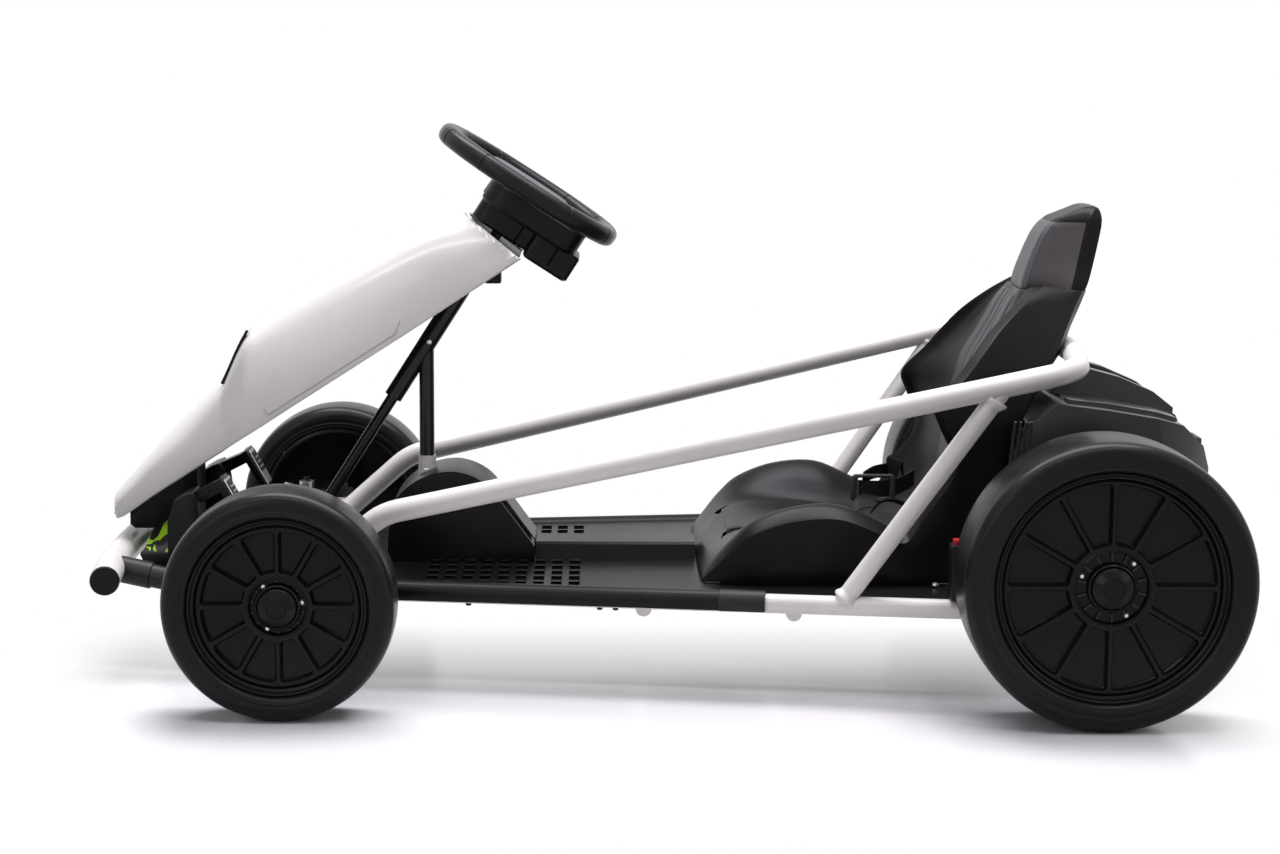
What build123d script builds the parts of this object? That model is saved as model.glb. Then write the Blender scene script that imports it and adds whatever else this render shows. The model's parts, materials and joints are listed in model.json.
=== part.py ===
from build123d import *
import math
import os

os.makedirs("parts", exist_ok=True)

# Electric drift kart, millimetres. X forward, Y to the driver's left, Z up.
# The origin is on the ground at the middle of the bounding box.

# Running gear
FRONT_AXLE_X = 420.0
REAR_AXLE_X = -480.0
FRONT_RADIUS = 128.0
REAR_RADIUS = 160.0
FRONT_WIDTH = 80.0
REAR_WIDTH = 106.0
FRONT_TRACK = 654.0
REAR_TRACK = 706.0
FRONT_LIP = 98.5
REAR_LIP = 126.8
SPOKES = 12
SPOKE_WEB = 6.0
RIM_SET = 12.0
POCKET_DEPTH = 9.0

# Frame tubes, outer radii
RAIL_R = 13.0
BRACE_R = 11.0
LOWER_R = 11.0
BUMPER_R = 17.0
BEAM_R = 12.5
LOWER_Z = 109.0
LOWER_Y_FRONT = 170.0
FRAME_WHEEL_GAP = 30.0
LOWER_Y_REAR = REAR_TRACK / 2 - REAR_WIDTH / 2 - FRAME_WHEEL_GAP
SEAT_GAP = 0.3

# Steering
KINGPIN_X = 411.5
KINGPIN_Y = FRONT_TRACK / 2 - 87.0
STUB = 76.0
STEER_ARM = 45.0
COLUMN_DEG = 57.5
WHEEL_CENTRE_X = 157.5
WHEEL_CENTRE_Z = 568.5
SHAFT_R = 7.0
RIM_R = 110.0
RIM_TUBE = 13.5

# Floor and covers
FLOOR_TOP = 117.0
FLOOR_T = 3.0
SHELL_T = 4.0
HUMP_HALF = 62.0

SLOPE = (LOWER_Y_REAR - LOWER_Y_FRONT) / 740.0
REAR_HALF = REAR_WIDTH / 2
FRONT_HALF = FRONT_WIDTH / 2


def tube_y(x):
    """Half spacing of the lower side tubes at station x."""
    return LOWER_Y_FRONT + (420.0 - x) * SLOPE


def save(shape, label):
    shape.label = label
    export_step(shape, "parts/" + label + ".step")


def rod(points, bends, radius):
    """Round bar along straight runs joined by one arc per inner point."""
    pts = [Vector(*p) for p in points]
    with BuildPart() as made:
        with BuildLine() as path:
            start = pts[0]
            for i in range(1, len(pts) - 1):
                back = (pts[i - 1] - pts[i]).normalized()
                ahead = (pts[i + 1] - pts[i]).normalized()
                half = math.acos(max(-1.0, min(1.0, back.dot(ahead)))) / 2
                reach = bends[i - 1] / math.tan(half)
                first = pts[i] + back * reach
                last = pts[i] + ahead * reach
                inward = (back + ahead).normalized()
                middle = pts[i] + inward * (bends[i - 1] / math.sin(half) - bends[i - 1])
                Line(start, first)
                ThreePointArc(first, middle, last)
                start = last
            Line(start, pts[-1])
        with BuildSketch(Plane(origin=pts[0], z_dir=pts[1] - pts[0])):
            Circle(radius)
        sweep(path=path.line)
    return made.part


def mirrored(points):
    return [(x, -y, z) for x, y, z in points]


def side_plate(outline, half):
    """Outline given as (x, z), extruded to +half and -half in Y."""
    with BuildPart() as made:
        with BuildSketch(Plane.XZ):
            with BuildLine():
                Polyline(*outline, close=True)
            make_face()
        extrude(amount=half, both=True)
    return made.part


# Lower frame: two side tubes, a front beam with kingpin tubes, cross tubes and
# the rear axle plates, welded into one piece.
LOWER_PATH = [
    (632.0, 141.4, 126.0),
    (540.0, 153.8, LOWER_Z),
    (-345.0, tube_y(-345.0), LOWER_Z),
    (REAR_AXLE_X, LOWER_Y_REAR - 8.0, REAR_RADIUS - 12.0),
]
LOWER_BENDS = [90.0, 90.0]
lower_left = rod(LOWER_PATH, LOWER_BENDS, LOWER_R)
lower_right = rod(mirrored(LOWER_PATH), LOWER_BENDS, LOWER_R)
BEAM_X = 404.0
BEAM_Z = 130.2
BUMPER_HALF = 225.0
BUMPER_Z = 129.0
BUMPER_END_X = 632.0
BUMPER_MID_X = 643.5
BUMPER_PATH = [
    (BUMPER_END_X, -BUMPER_HALF, BUMPER_Z), (BUMPER_MID_X, -120.0, BUMPER_Z),
    (BUMPER_MID_X, 120.0, BUMPER_Z), (BUMPER_END_X, BUMPER_HALF, BUMPER_Z),
]
BUMPER_BEND = 1200.0
bumper = rod(BUMPER_PATH, [BUMPER_BEND, BUMPER_BEND], BUMPER_R)
bumper_keep = rod(BUMPER_PATH, [BUMPER_BEND, BUMPER_BEND], BUMPER_R + SEAT_GAP)
beam = rod([(BEAM_X, -(KINGPIN_Y - 8), BEAM_Z), (BEAM_X, KINGPIN_Y - 8, BEAM_Z)], [], BEAM_R)
beam_keep = rod([(BEAM_X, -KINGPIN_Y, BEAM_Z), (BEAM_X, KINGPIN_Y, BEAM_Z)], [], BEAM_R + SEAT_GAP)
lower_keep_left = rod(LOWER_PATH, LOWER_BENDS, LOWER_R + SEAT_GAP)
lower_keep_right = rod(mirrored(LOWER_PATH), LOWER_BENDS, LOWER_R + SEAT_GAP)
CROSS_R = 9.0
CROSS_Z = 98.0
CROSS_TUBES = [
    # station x, axis height, radius
    (20.0, CROSS_Z, CROSS_R),
    (-150.0, CROSS_Z, CROSS_R),
    (-345.0, CROSS_Z + 6.0, LOWER_R),
]
cross_bars = []
cross_keeps = []
for x, z, r in CROSS_TUBES:
    ends = [(x, -tube_y(x), z), (x, tube_y(x), z)]
    cross_bars.append(rod(ends, [], r))
    cross_keeps.append(rod(ends, [], r + SEAT_GAP))

AXLE_PLATE_T = 6.0
AXLE_R = 9.0
KINGPIN_TUBE_R = 14.0
KINGPIN_TUBE_H = 46.0
KINGPIN_TUBE_Z = 122.0
PIN_R = 6.0
with BuildPart() as lower_frame:
    add(lower_left)
    add(lower_right)
    add(beam)
    for bar in cross_bars:
        add(bar)
    for side in (1, -1):
        with Locations((KINGPIN_X, side * KINGPIN_Y, KINGPIN_TUBE_Z)):
            Cylinder(KINGPIN_TUBE_R, KINGPIN_TUBE_H)
            Cylinder(PIN_R + SEAT_GAP, KINGPIN_TUBE_H, mode=Mode.SUBTRACT)
        with BuildSketch(Plane.XZ.offset(-side * (LOWER_Y_REAR - 8.0))):
            with Locations((REAR_AXLE_X, REAR_RADIUS - 4.0)):
                RectangleRounded(58.0, 60.0, 12.0)
        extrude(amount=AXLE_PLATE_T / 2, both=True)
    with Locations((REAR_AXLE_X, 0, REAR_RADIUS)):
        Cylinder(AXLE_R + 0.2, 2 * LOWER_Y_REAR + 60.0, rotation=(90, 0, 0), mode=Mode.SUBTRACT)
    add(bumper_keep, mode=Mode.SUBTRACT)
save(lower_frame.part, "lower_frame")

# Front bumper tube with plugged ends
with BuildPart() as front_bumper:
    add(bumper)
    for side in (1, -1):
        end = Plane(
            origin=(BUMPER_END_X, side * BUMPER_HALF, BUMPER_Z),
            z_dir=(BUMPER_END_X - BUMPER_MID_X, side * (BUMPER_HALF - 120.0), 0),
        )
        with BuildSketch(end.offset(-26.0)):
            Circle(BUMPER_R - 2.4)
        extrude(amount=30.0, mode=Mode.SUBTRACT)
save(front_bumper.part, "front_bumper")
for side, name in ((1, "bumper_cap_left"), (-1, "bumper_cap_right")):
    end = Plane(
        origin=(BUMPER_END_X, side * BUMPER_HALF, BUMPER_Z),
        z_dir=(BUMPER_END_X - BUMPER_MID_X, side * (BUMPER_HALF - 120.0), 0),
    )
    with BuildPart() as bumper_cap:
        with BuildSketch(end.offset(-20.0)):
            Circle(BUMPER_R - 2.6)
        extrude(amount=20.4)
        with BuildSketch(end.offset(0.2)):
            Circle(BUMPER_R)
        extrude(amount=4.0, taper=14)
    save(bumper_cap.part, name)

# Upper hoop: side rails and the bend behind the seat in one tube
RAIL_PATH = [
    (398.0, 207.0, 134.0),
    (318.0, 212.5, 205.0),
    (-370.0, LOWER_Y_REAR + 8.4, 361.4),
    (-462.0, LOWER_Y_REAR - 8.0, 379.0),
    (-488.5, 90.0, 379.0),
]
rail_full = RAIL_PATH + [(x, -y, z) for x, y, z in reversed(RAIL_PATH)]
RAIL_BENDS = [75.0, 160.0, 50.0, 60.0, 60.0, 50.0, 160.0, 75.0]
rail = rod(rail_full, RAIL_BENDS, RAIL_R)
rail_keep = rod(rail_full, RAIL_BENDS, RAIL_R + SEAT_GAP)
with BuildPart() as side_rail:
    add(rail)
    add(beam_keep, mode=Mode.SUBTRACT)
save(side_rail.part, "side_rail")

# Braces from the lower tubes to the rail, coped at both ends
BRACE_PATH = [(-201.5, tube_y(-201.5), LOWER_Z), (-377.0, LOWER_Y_REAR + 7.4, 362.0)]
for side, name in ((1, "brace_left"), (-1, "brace_right")):
    run = [(x, side * y, z) for x, y, z in BRACE_PATH]
    brace_bar = rod(run, [], BRACE_R)
    with BuildPart() as brace:
        add(brace_bar)
        add(rail_keep, mode=Mode.SUBTRACT)
        add(lower_keep_left if side > 0 else lower_keep_right, mode=Mode.SUBTRACT)
    keep = brace.part.solids().sort_by(SortBy.VOLUME)[-1]
    save(keep, name)

# Floor pan: flat floor, centre tunnel and a sill bead over each lower tube
PAN_FRONT = 530.0
PAN_NOSE = 612.0
PAN_REAR = -66.0
PAN_UNDER = FLOOR_TOP - FLOOR_T
BEAD_R = LOWER_R + 2.8
BEAD_LOW = LOWER_Z - 7.5
TUNNEL_TOP = 137.0
TUNNEL_HALF = 29.0
TUNNEL_FRONT = 148.0
TUNNEL_REAR = -46.0
SLEEVE_R = LOWER_R + 3.6


def along_tube(first_x, last_x, radius, lower_z=LOWER_Z, end_z=LOWER_Z):
    return [
        rod([(first_x, side * tube_y(first_x), lower_z), (last_x, side * tube_y(last_x), end_z)], [], radius)
        for side in (1, -1)
    ]


with BuildPart() as floor_pan:
    with BuildSketch(Plane.XY.offset(PAN_UNDER)):
        with BuildLine():
            Polyline(
                (PAN_NOSE, 112.0), (PAN_FRONT, 126.0), (PAN_FRONT, tube_y(PAN_FRONT)), (PAN_REAR, tube_y(PAN_REAR)),
                (PAN_REAR, -tube_y(PAN_REAR)), (PAN_FRONT, -tube_y(PAN_FRONT)), (PAN_FRONT, -126.0),
                (PAN_NOSE, -112.0), close=True,
            )
        make_face()
    extrude(amount=FLOOR_T)
    for keep in along_tube(PAN_FRONT + 60.0, PAN_REAR - 60.0, BEAD_R + SEAT_GAP):
        add(keep, mode=Mode.SUBTRACT)
    add(beam_keep, mode=Mode.SUBTRACT)
    with BuildSketch(Plane.YZ.offset(TUNNEL_REAR)):
        with BuildLine():
            Polyline(
                (TUNNEL_HALF + 5, FLOOR_TOP), (TUNNEL_HALF, TUNNEL_TOP - 3), (TUNNEL_HALF - 3, TUNNEL_TOP),
                (3 - TUNNEL_HALF, TUNNEL_TOP), (-TUNNEL_HALF, TUNNEL_TOP - 3), (-TUNNEL_HALF - 5, FLOOR_TOP), close=True,
            )
        make_face()
    extrude(amount=TUNNEL_FRONT - TUNNEL_REAR)
    with BuildSketch(Plane.YZ.offset(TUNNEL_REAR + 3)):
        with Locations((0, (PAN_UNDER + TUNNEL_TOP - 3) / 2)):
            Rectangle(2 * TUNNEL_HALF - 8, TUNNEL_TOP - 3 - PAN_UNDER)
    extrude(amount=TUNNEL_FRONT - TUNNEL_REAR - 6, mode=Mode.SUBTRACT)
floor_solid = floor_pan.part.solids().sort_by(SortBy.VOLUME)[-1]
save(floor_solid, "floor_pan")

# The pan's rolled edges, each wrapped round its lower tube and open below
edge_beads = along_tube(PAN_FRONT, PAN_REAR, BEAD_R)
edge_bores = along_tube(PAN_FRONT + 3.0, PAN_REAR - 6.0, LOWER_R + SEAT_GAP)
for i, name in ((0, "pan_edge_left"), (1, "pan_edge_right")):
    with BuildPart() as pan_edge:
        add(edge_beads[i])
        add(edge_bores[i], mode=Mode.SUBTRACT)
        with BuildSketch(Plane.XY.offset(80.0)):
            with Locations(((PAN_FRONT + PAN_REAR) / 2, 0)):
                Rectangle(PAN_FRONT - PAN_REAR + 20, 2 * LOWER_Y_REAR + 100)
        extrude(amount=BEAD_LOW - 80.0, mode=Mode.SUBTRACT)
        add(beam_keep, mode=Mode.SUBTRACT)
        for keep in cross_keeps:
            add(keep, mode=Mode.SUBTRACT)
    save(pan_edge.part.solids().sort_by(SortBy.VOLUME)[-1], name)

# Black half sleeves: one behind the pan on each tube, one stepped pair at the bumper
rear_sleeves = along_tube(PAN_REAR - 0.4, PAN_REAR - 52.0, SLEEVE_R)
rear_bores = along_tube(PAN_REAR + 4.0, PAN_REAR - 58.0, LOWER_R + SEAT_GAP)
for i, name in ((0, "sleeve_rear_left"), (1, "sleeve_rear_right")):
    with BuildPart() as sleeve:
        add(rear_sleeves[i])
        add(rear_bores[i], mode=Mode.SUBTRACT)
        with Locations((PAN_REAR - 26.0, 0, LOWER_Z - 8.0 - 20.0)):
            Box(80.0, 800.0, 40.0, mode=Mode.SUBTRACT)
    save(sleeve.part.solids().sort_by(SortBy.VOLUME)[-1], name)
for side, name in ((1, "sleeve_front_left"), (-1, "sleeve_front_right")):
    low_end = Vector(549.5, side * 152.5, LOWER_Z + 1.8)
    top_end = Vector(632.0, side * 141.4, 126.0)
    run = top_end - low_end
    with BuildPart() as sleeve:
        with BuildSketch(Plane(origin=low_end, z_dir=run)):
            Circle(LOWER_R + 2.6)
        extrude(amount=50.0)
        with BuildSketch(Plane(origin=low_end + run.normalized() * 44.0, z_dir=run)):
            Circle(LOWER_R + 4.6)
        extrude(amount=run.length - 44.0)
        with BuildSketch(Plane(origin=low_end - run.normalized() * 5.0, z_dir=run)):
            Circle(LOWER_R + SEAT_GAP)
        extrude(amount=run.length + 20.0, mode=Mode.SUBTRACT)
        add(bumper_keep, mode=Mode.SUBTRACT)
        add(lower_keep_left if side > 0 else lower_keep_right, mode=Mode.SUBTRACT)
    save(sleeve.part.solids().sort_by(SortBy.VOLUME)[-1], name)

# Battery cover between the driver's legs, and the battery block inside it
HUMP_TOP = 242.0


def hump(inset):
    """Side outline of the hump: sloped front, domed top, long rear slope."""
    low = FLOOR_TOP + SEAT_GAP - inset
    with BuildPart() as made:
        with BuildSketch(Plane.XZ):
            with BuildLine():
                Polyline((149.0 + inset, low), (149.0 + inset, 138.5), (192.0 + inset, 204.0))
                ThreePointArc(
                    (192.0 + inset, 204.0), (214.0 + inset / 2, 230.0 - inset * 0.8), (246.0, HUMP_TOP - inset)
                )
                ThreePointArc(
                    (246.0, HUMP_TOP - inset), (292.0, 228.0 - inset), (322.0 - inset, 190.0)
                )
                Polyline((322.0 - inset, 190.0), (327.0 - inset, low), (149.0 + inset, low))
            make_face()
        extrude(amount=HUMP_HALF - inset, both=True)
    return made.part


cover_outer = hump(0.0)
cover_inner = hump(SHELL_T)
POST_X = 281.0
with BuildPart() as battery_cover:
    add(cover_outer)
    add(cover_inner, mode=Mode.SUBTRACT)
    with Locations((POST_X, 0, 230.0)):
        Cylinder(11.5, 40.0, mode=Mode.SUBTRACT)
save(battery_cover.part, "battery_cover")
with BuildPart() as battery_pack:
    with Locations((233.0, 0, 157.3)):
        Box(70.0, 100.0, 80.0)
save(battery_pack.part, "battery_pack")

# Steering post socket and post
with BuildPart() as post_socket:
    with Locations((POST_X, 0, 178.3)):
        Cylinder(10.7, 122.0)
        Cylinder(9.2, 122.0, mode=Mode.SUBTRACT)
save(post_socket.part, "post_socket")

axis_x = math.cos(math.radians(COLUMN_DEG))
axis_z = -math.sin(math.radians(COLUMN_DEG))


def on_column(distance, lift=0.0):
    """Point at a distance down the column from the rim centre."""
    return (
        WHEEL_CENTRE_X + axis_x * distance - axis_z * 0 + lift * 0.0,
        0.0,
        WHEEL_CENTRE_Z + axis_z * distance,
    )


def column_plane(distance):
    """Plane across the column; its Z points down the column, its Y to the left."""
    return Plane(origin=on_column(distance), x_dir=(-axis_z, 0, axis_x), z_dir=(axis_x, 0, axis_z))


def column_bar(first, last, radius, bore):
    with BuildPart() as made:
        with BuildSketch(column_plane(first)):
            Circle(radius)
            if bore > 0:
                Circle(bore, mode=Mode.SUBTRACT)
        extrude(amount=last - first)
    return made.part


sleeve_bar = column_bar(150.0, 306.0, 11.0, SHAFT_R + 0.8)
sleeve_keep = column_bar(140.0, 320.0, 11.0 + SEAT_GAP, 0)
with BuildPart() as steering_post:
    with Locations((POST_X, 0, 261.0)):
        Cylinder(9.0, 286.0)
    add(sleeve_keep, mode=Mode.SUBTRACT)
post_solid = steering_post.part.solids().sort_by(Axis.Z)[0]
save(post_solid, "steering_post")
save(sleeve_bar, "column_sleeve")

# Nose shell: (station x, lower edge z, half width, crease z, half width, crown z)
NOSE = [
    (661.9, 178.0, 40.0, 187.0, 37.0, 191.0),
    (645.0, 177.0, 53.0, 197.0, 48.0, 208.0),
    (630.0, 182.0, 60.0, 210.0, 54.0, 226.0),
    (579.0, 215.0, 74.0, 258.0, 62.0, 285.0),
    (524.5, 250.0, 84.0, 304.0, 66.0, 332.0),
    (497.5, 268.0, 88.0, 352.0, 67.0, 390.0),
    (433.5, 310.0, 91.0, 402.0, 70.0, 440.0),
    (360.5, 357.0, 91.0, 450.0, 70.0, 482.0),
    (287.5, 404.0, 88.0, 492.0, 66.0, 519.0),
    (225.0, 445.0, 82.0, 515.0, 60.0, 534.0),
    (150.0, 493.0, 74.0, 530.0, 54.0, 545.0),
]


def nose_body(rows):
    with BuildPart() as made:
        for x, low, wide, crease, narrow, crown in rows:
            with BuildSketch(Plane(origin=(x, 0, 0), x_dir=(0, 1, 0), z_dir=(1, 0, 0))):
                with BuildLine():
                    brow = crease + (crown - crease) * 0.74
                    Polyline(
                        (-wide, low), (-narrow, crease), (-narrow * 0.55, brow), (0, crown),
                        (narrow * 0.55, brow), (narrow, crease), (wide, low), close=True,
                    )
                make_face()
        loft(ruled=True)
    return made.part


NOSE_INNER = [
    (row[0] + 0.01 * i, row[1] - 12.0, row[2] - SHELL_T + 1.5, row[3] - 2.5, row[4] - SHELL_T, row[5] - 5.0)
    for i, row in enumerate(NOSE) if i > 1
]
nose_outer = nose_body(NOSE)
nose_inner = nose_body(NOSE_INNER)
nose_end = side_plate([(226.0, 532.5), (100.0, 434.0), (60.0, 640.0), (250.0, 640.0), (250.0, 551.0)], 140.0)
mouth_cut = side_plate([(530.0, 336.0), (511.0, 338.0), (489.5, 383.0), (505.0, 402.0), (545.0, 402.0)], 52.0)
with BuildPart() as nose_panel:
    add(nose_outer)
    add(nose_inner, mode=Mode.SUBTRACT)
    add(nose_end, mode=Mode.SUBTRACT)
    add(mouth_cut, mode=Mode.SUBTRACT)
nose_solid = nose_panel.part.solids().sort_by(SortBy.VOLUME)[-1]
save(nose_solid, "nose_panel")

# Dark grille panel behind the scoop mouth
scoop_panel = side_plate([(510.0, 327.0), (484.8, 380.0), (481.8, 378.5), (507.0, 325.5)], 44.0)
save(scoop_panel, "scoop_panel")

# Nose bracket and the faceted cover in front of the pedals
NOSE_CLEAR = [
    (row[0], row[1], row[2] - SEAT_GAP, row[3] - SEAT_GAP, row[4] - SEAT_GAP, row[5] - SEAT_GAP)
    for row in NOSE_INNER
]
nose_clear = nose_body(NOSE_CLEAR)
bracket_block = side_plate(
    [(638.0, 158.0), (632.0, 153.0), (556.0, 153.0), (556.0, 330.0), (638.0, 330.0)], 32.0
)
with BuildPart() as nose_wall:
    add(nose_outer)
    add(nose_clear, mode=Mode.SUBTRACT)
with BuildPart() as bracket_part:
    add(bracket_block)
    add(nose_wall.part, mode=Mode.SUBTRACT)
nose_bracket = bracket_part.part.solids().sort_by(Axis.Z)[0]
save(nose_bracket, "nose_bracket")
COVER_TOP = 169.0
PEDAL_Y = 106.0
PEDAL_HALF = 26.0
with BuildPart() as front_cover:
    add(side_plate(
        [(610.0, 117.3), (617.0, 134.0), (611.0, 152.0), (588.0, COVER_TOP), (562.0, COVER_TOP), (540.0, 150.0),
         (540.0, 117.3)], 92.0
    ))
    for side in (1, -1):
        with BuildSketch(Plane.XY.offset(110.0)):
            with BuildLine():
                Polyline(
                    (640.0, side * 60.0), (640.0, side * 110.0), (580.0, side * 110.0), (590.0, side * 92.0),
                    close=True,
                )
            make_face()
        extrude(amount=80.0, mode=Mode.SUBTRACT)
        with Locations((556.0, side * (PEDAL_Y - PEDAL_HALF + 20.0), 150.0)):
            Box(46.0, 42.0, 100.0, mode=Mode.SUBTRACT)
    with Locations((600.0, 0, 177.7)):
        Box(90.0, 66.0, 50.0, mode=Mode.SUBTRACT)
    with Locations((600.0, 0, 165.0)):
        Box(90.0, 66.0, 25.0, mode=Mode.SUBTRACT)
save(front_cover.part.solids().sort_by(SortBy.VOLUME)[-1], "front_cover")

# Pedals: a housing with a slanting pad on its rear arm
for side, name in ((1, "pedal_left"), (-1, "pedal_right")):
    with BuildPart() as pedal:
        with BuildSketch(Plane.XZ.offset(-side * PEDAL_Y)):
            with BuildLine():
                Polyline(
                    (536.0, 117.3), (576.0, 117.3), (576.0, 178.0), (568.0, 204.0), (556.0, 211.0),
                    (547.0, 214.0), (541.0, 204.0), (536.0, 168.0), close=True,
                )
            make_face()
        extrude(amount=PEDAL_HALF, both=True)
        with BuildSketch(Plane.XZ.offset(-side * PEDAL_Y)):
            with BuildLine():
                Polyline((539.0, 200.0), (546.0, 213.0), (514.0, 227.0), (508.0, 216.0), close=True)
            make_face()
        extrude(amount=PEDAL_HALF - 14.0, both=True)
        with BuildSketch(Plane.XZ.offset(-side * PEDAL_Y)):
            with BuildLine():
                Polyline((513.0, 230.0), (520.0, 226.0), (494.0, 180.0), (487.0, 184.0), close=True)
            make_face()
        extrude(amount=PEDAL_HALF - 3.0, both=True)
    save(pedal.part, name)

# Seat base: thigh bolsters either side of a shallow pad
# station x, outer half width, shoulder z, ridge half width, ridge z, inner half width, inner z, pad half, pad z
SEAT = [
    (-47.0, 166.0, 119.5, 150.0, 122.0, 120.0, 122.0, 70.0, 121.0),
    (-65.0, 174.0, 138.0, 156.0, 143.0, 128.0, 142.0, 80.0, 140.0),
    (-84.0, 179.0, 158.0, 160.0, 166.0, 134.0, 163.0, 84.0, 157.0),
    (-108.0, 181.0, 177.0, 160.0, 185.0, 134.0, 180.0, 86.0, 164.0),
    (-153.0, 182.0, 192.0, 158.0, 201.0, 134.0, 195.0, 88.0, 163.0),
    (-206.0, 182.0, 195.0, 156.0, 204.0, 134.0, 197.0, 90.0, 156.0),
    (-254.0, 181.0, 178.0, 156.0, 184.0, 136.0, 178.0, 92.0, 150.0),
    (-296.0, 180.0, 160.0, 157.0, 163.0, 140.0, 160.0, 94.0, 149.0),
]
SEAT_FOOT = 117.5
with BuildPart() as seat_base:
    for x, outer, shoulder, ridge_y, ridge, inner_y, inner, pad_y, pad in SEAT:
        with BuildSketch(Plane(origin=(x, 0, 0), x_dir=(0, 1, 0), z_dir=(1, 0, 0))):
            with BuildLine():
                Polyline(
                    (-outer, SEAT_FOOT), (-outer, shoulder), (-ridge_y, ridge), (-inner_y, inner), (-pad_y, pad),
                    (pad_y, pad), (inner_y, inner), (ridge_y, ridge), (outer, shoulder), (outer, SEAT_FOOT),
                    close=True,
                )
            make_face()
    loft(ruled=True)
    for side in (1, -1):
        with BuildSketch(Plane.XY.offset(140.0)):
            with Locations((-98.0, side * 72.0)):
                RectangleRounded(15.0, 40.0, 4.0)
        extrude(amount=40.0, mode=Mode.SUBTRACT)
save(seat_base.part, "seat_base")

# Seat back, level by level: z, rear x, rear half width, flank x, flank half width, wing tip x, outer and
# inner half widths of the wing, hollow x, hollow half width
BACK = [
    (117.6, -352.0, 120.0, -380.0, 168.0, -296.3, 178.0, 156.0, -296.6, 96.0),
    (155.0, -362.0, 122.0, -392.0, 170.0, -296.3, 180.0, 158.0, -306.0, 92.0),
    (179.0, -368.0, 122.0, -396.0, 168.0, -296.3, 178.0, 156.0, -322.0, 88.0),
    (200.0, -378.0, 122.0, -398.0, 164.0, -303.0, 176.0, 152.0, -338.0, 84.0),
    (230.0, -392.0, 124.0, -398.0, 160.0, -326.0, 172.0, 150.0, -357.0, 82.0),
    (265.0, -408.0, 124.0, -404.0, 158.0, -337.0, 170.0, 148.0, -362.0, 80.0),
    (311.0, -430.0, 122.0, -421.0, 156.0, -318.5, 171.0, 150.0, -368.0, 78.0),
    (355.0, -452.0, 114.0, -440.0, 148.0, -347.0, 162.0, 140.0, -380.0, 74.0),
    (385.0, -476.0, 102.0, -462.0, 128.0, -370.0, 149.0, 127.0, -395.0, 70.0),
    (408.0, -484.0, 90.0, -474.0, 110.0, -390.0, 134.0, 112.0, -408.0, 66.0),
    (444.0, -505.0, 64.0, -492.0, 78.0, -444.0, 88.0, 74.0, -430.0, 56.0),
    (470.0, -512.0, 54.0, -500.0, 62.0, -448.0, 66.0, 58.0, -437.0, 48.0),
    (524.0, -525.0, 40.0, -512.0, 46.0, -474.0, 50.0, 44.0, -461.0, 36.0),
    (548.0, -523.0, 34.0, -519.0, 38.0, -513.0, 42.0, 38.0, -508.0, 30.0),
]
with BuildPart() as back_block:
    for z, rear, rear_y, flank, flank_y, tip, outer, inner, hollow, hollow_y in BACK:
        with BuildSketch(Plane.XY.offset(z)):
            with BuildLine():
                Polyline(
                    (rear, -rear_y), (flank, -flank_y), (tip, -outer), (tip, -inner), (hollow, -hollow_y),
                    (hollow, hollow_y), (tip, inner), (tip, outer), (flank, flank_y), (rear, rear_y), close=True,
                )
            make_face()
    loft(ruled=True)
with BuildPart() as seat_back:
    add(back_block.part)
    add(rail_keep, mode=Mode.SUBTRACT)
back_solid = seat_back.part.solids().sort_by(SortBy.VOLUME)[-1]
save(back_solid, "seat_back")

# Rear cover: hollow housing over the drive units, with two long fins
COVER_HALF = 172.0
COVER_T = 4.0
HUMP_Y = 66.0
REAR_DECK = [
    (-400.0, 180.0), (-404.0, 268.0), (-424.0, 300.0), (-458.0, 328.0), (-516.0, 321.0), (-575.0, 311.0),
    (-608.0, 301.0), (-640.0, 272.0), (-650.0, 244.0), (-648.0, 196.0), (-600.0, 180.0),
]
REAR_DECK_IN = [
    (-396.0, 170.0), (-408.0, 266.6), (-427.0, 297.0), (-460.0, 323.4), (-516.0, 317.0), (-574.0, 307.0),
    (-606.0, 297.0), (-636.0, 269.6), (-646.0, 243.0), (-644.0, 200.0), (-596.0, 170.0),
]
REAR_HUMP = [
    (-458.0, 322.0), (-484.0, 341.0), (-512.0, 350.0), (-548.0, 341.0), (-589.0, 323.0), (-621.0, 299.0),
    (-634.0, 270.0), (-600.0, 290.0), (-516.0, 315.0),
]
REAR_HUMP_IN = [
    (-464.0, 318.0), (-486.0, 336.8), (-512.0, 345.8), (-546.6, 337.0), (-586.6, 319.0), (-618.0, 295.6),
    (-629.0, 268.0), (-600.0, 280.0), (-516.0, 300.0),
]
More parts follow.
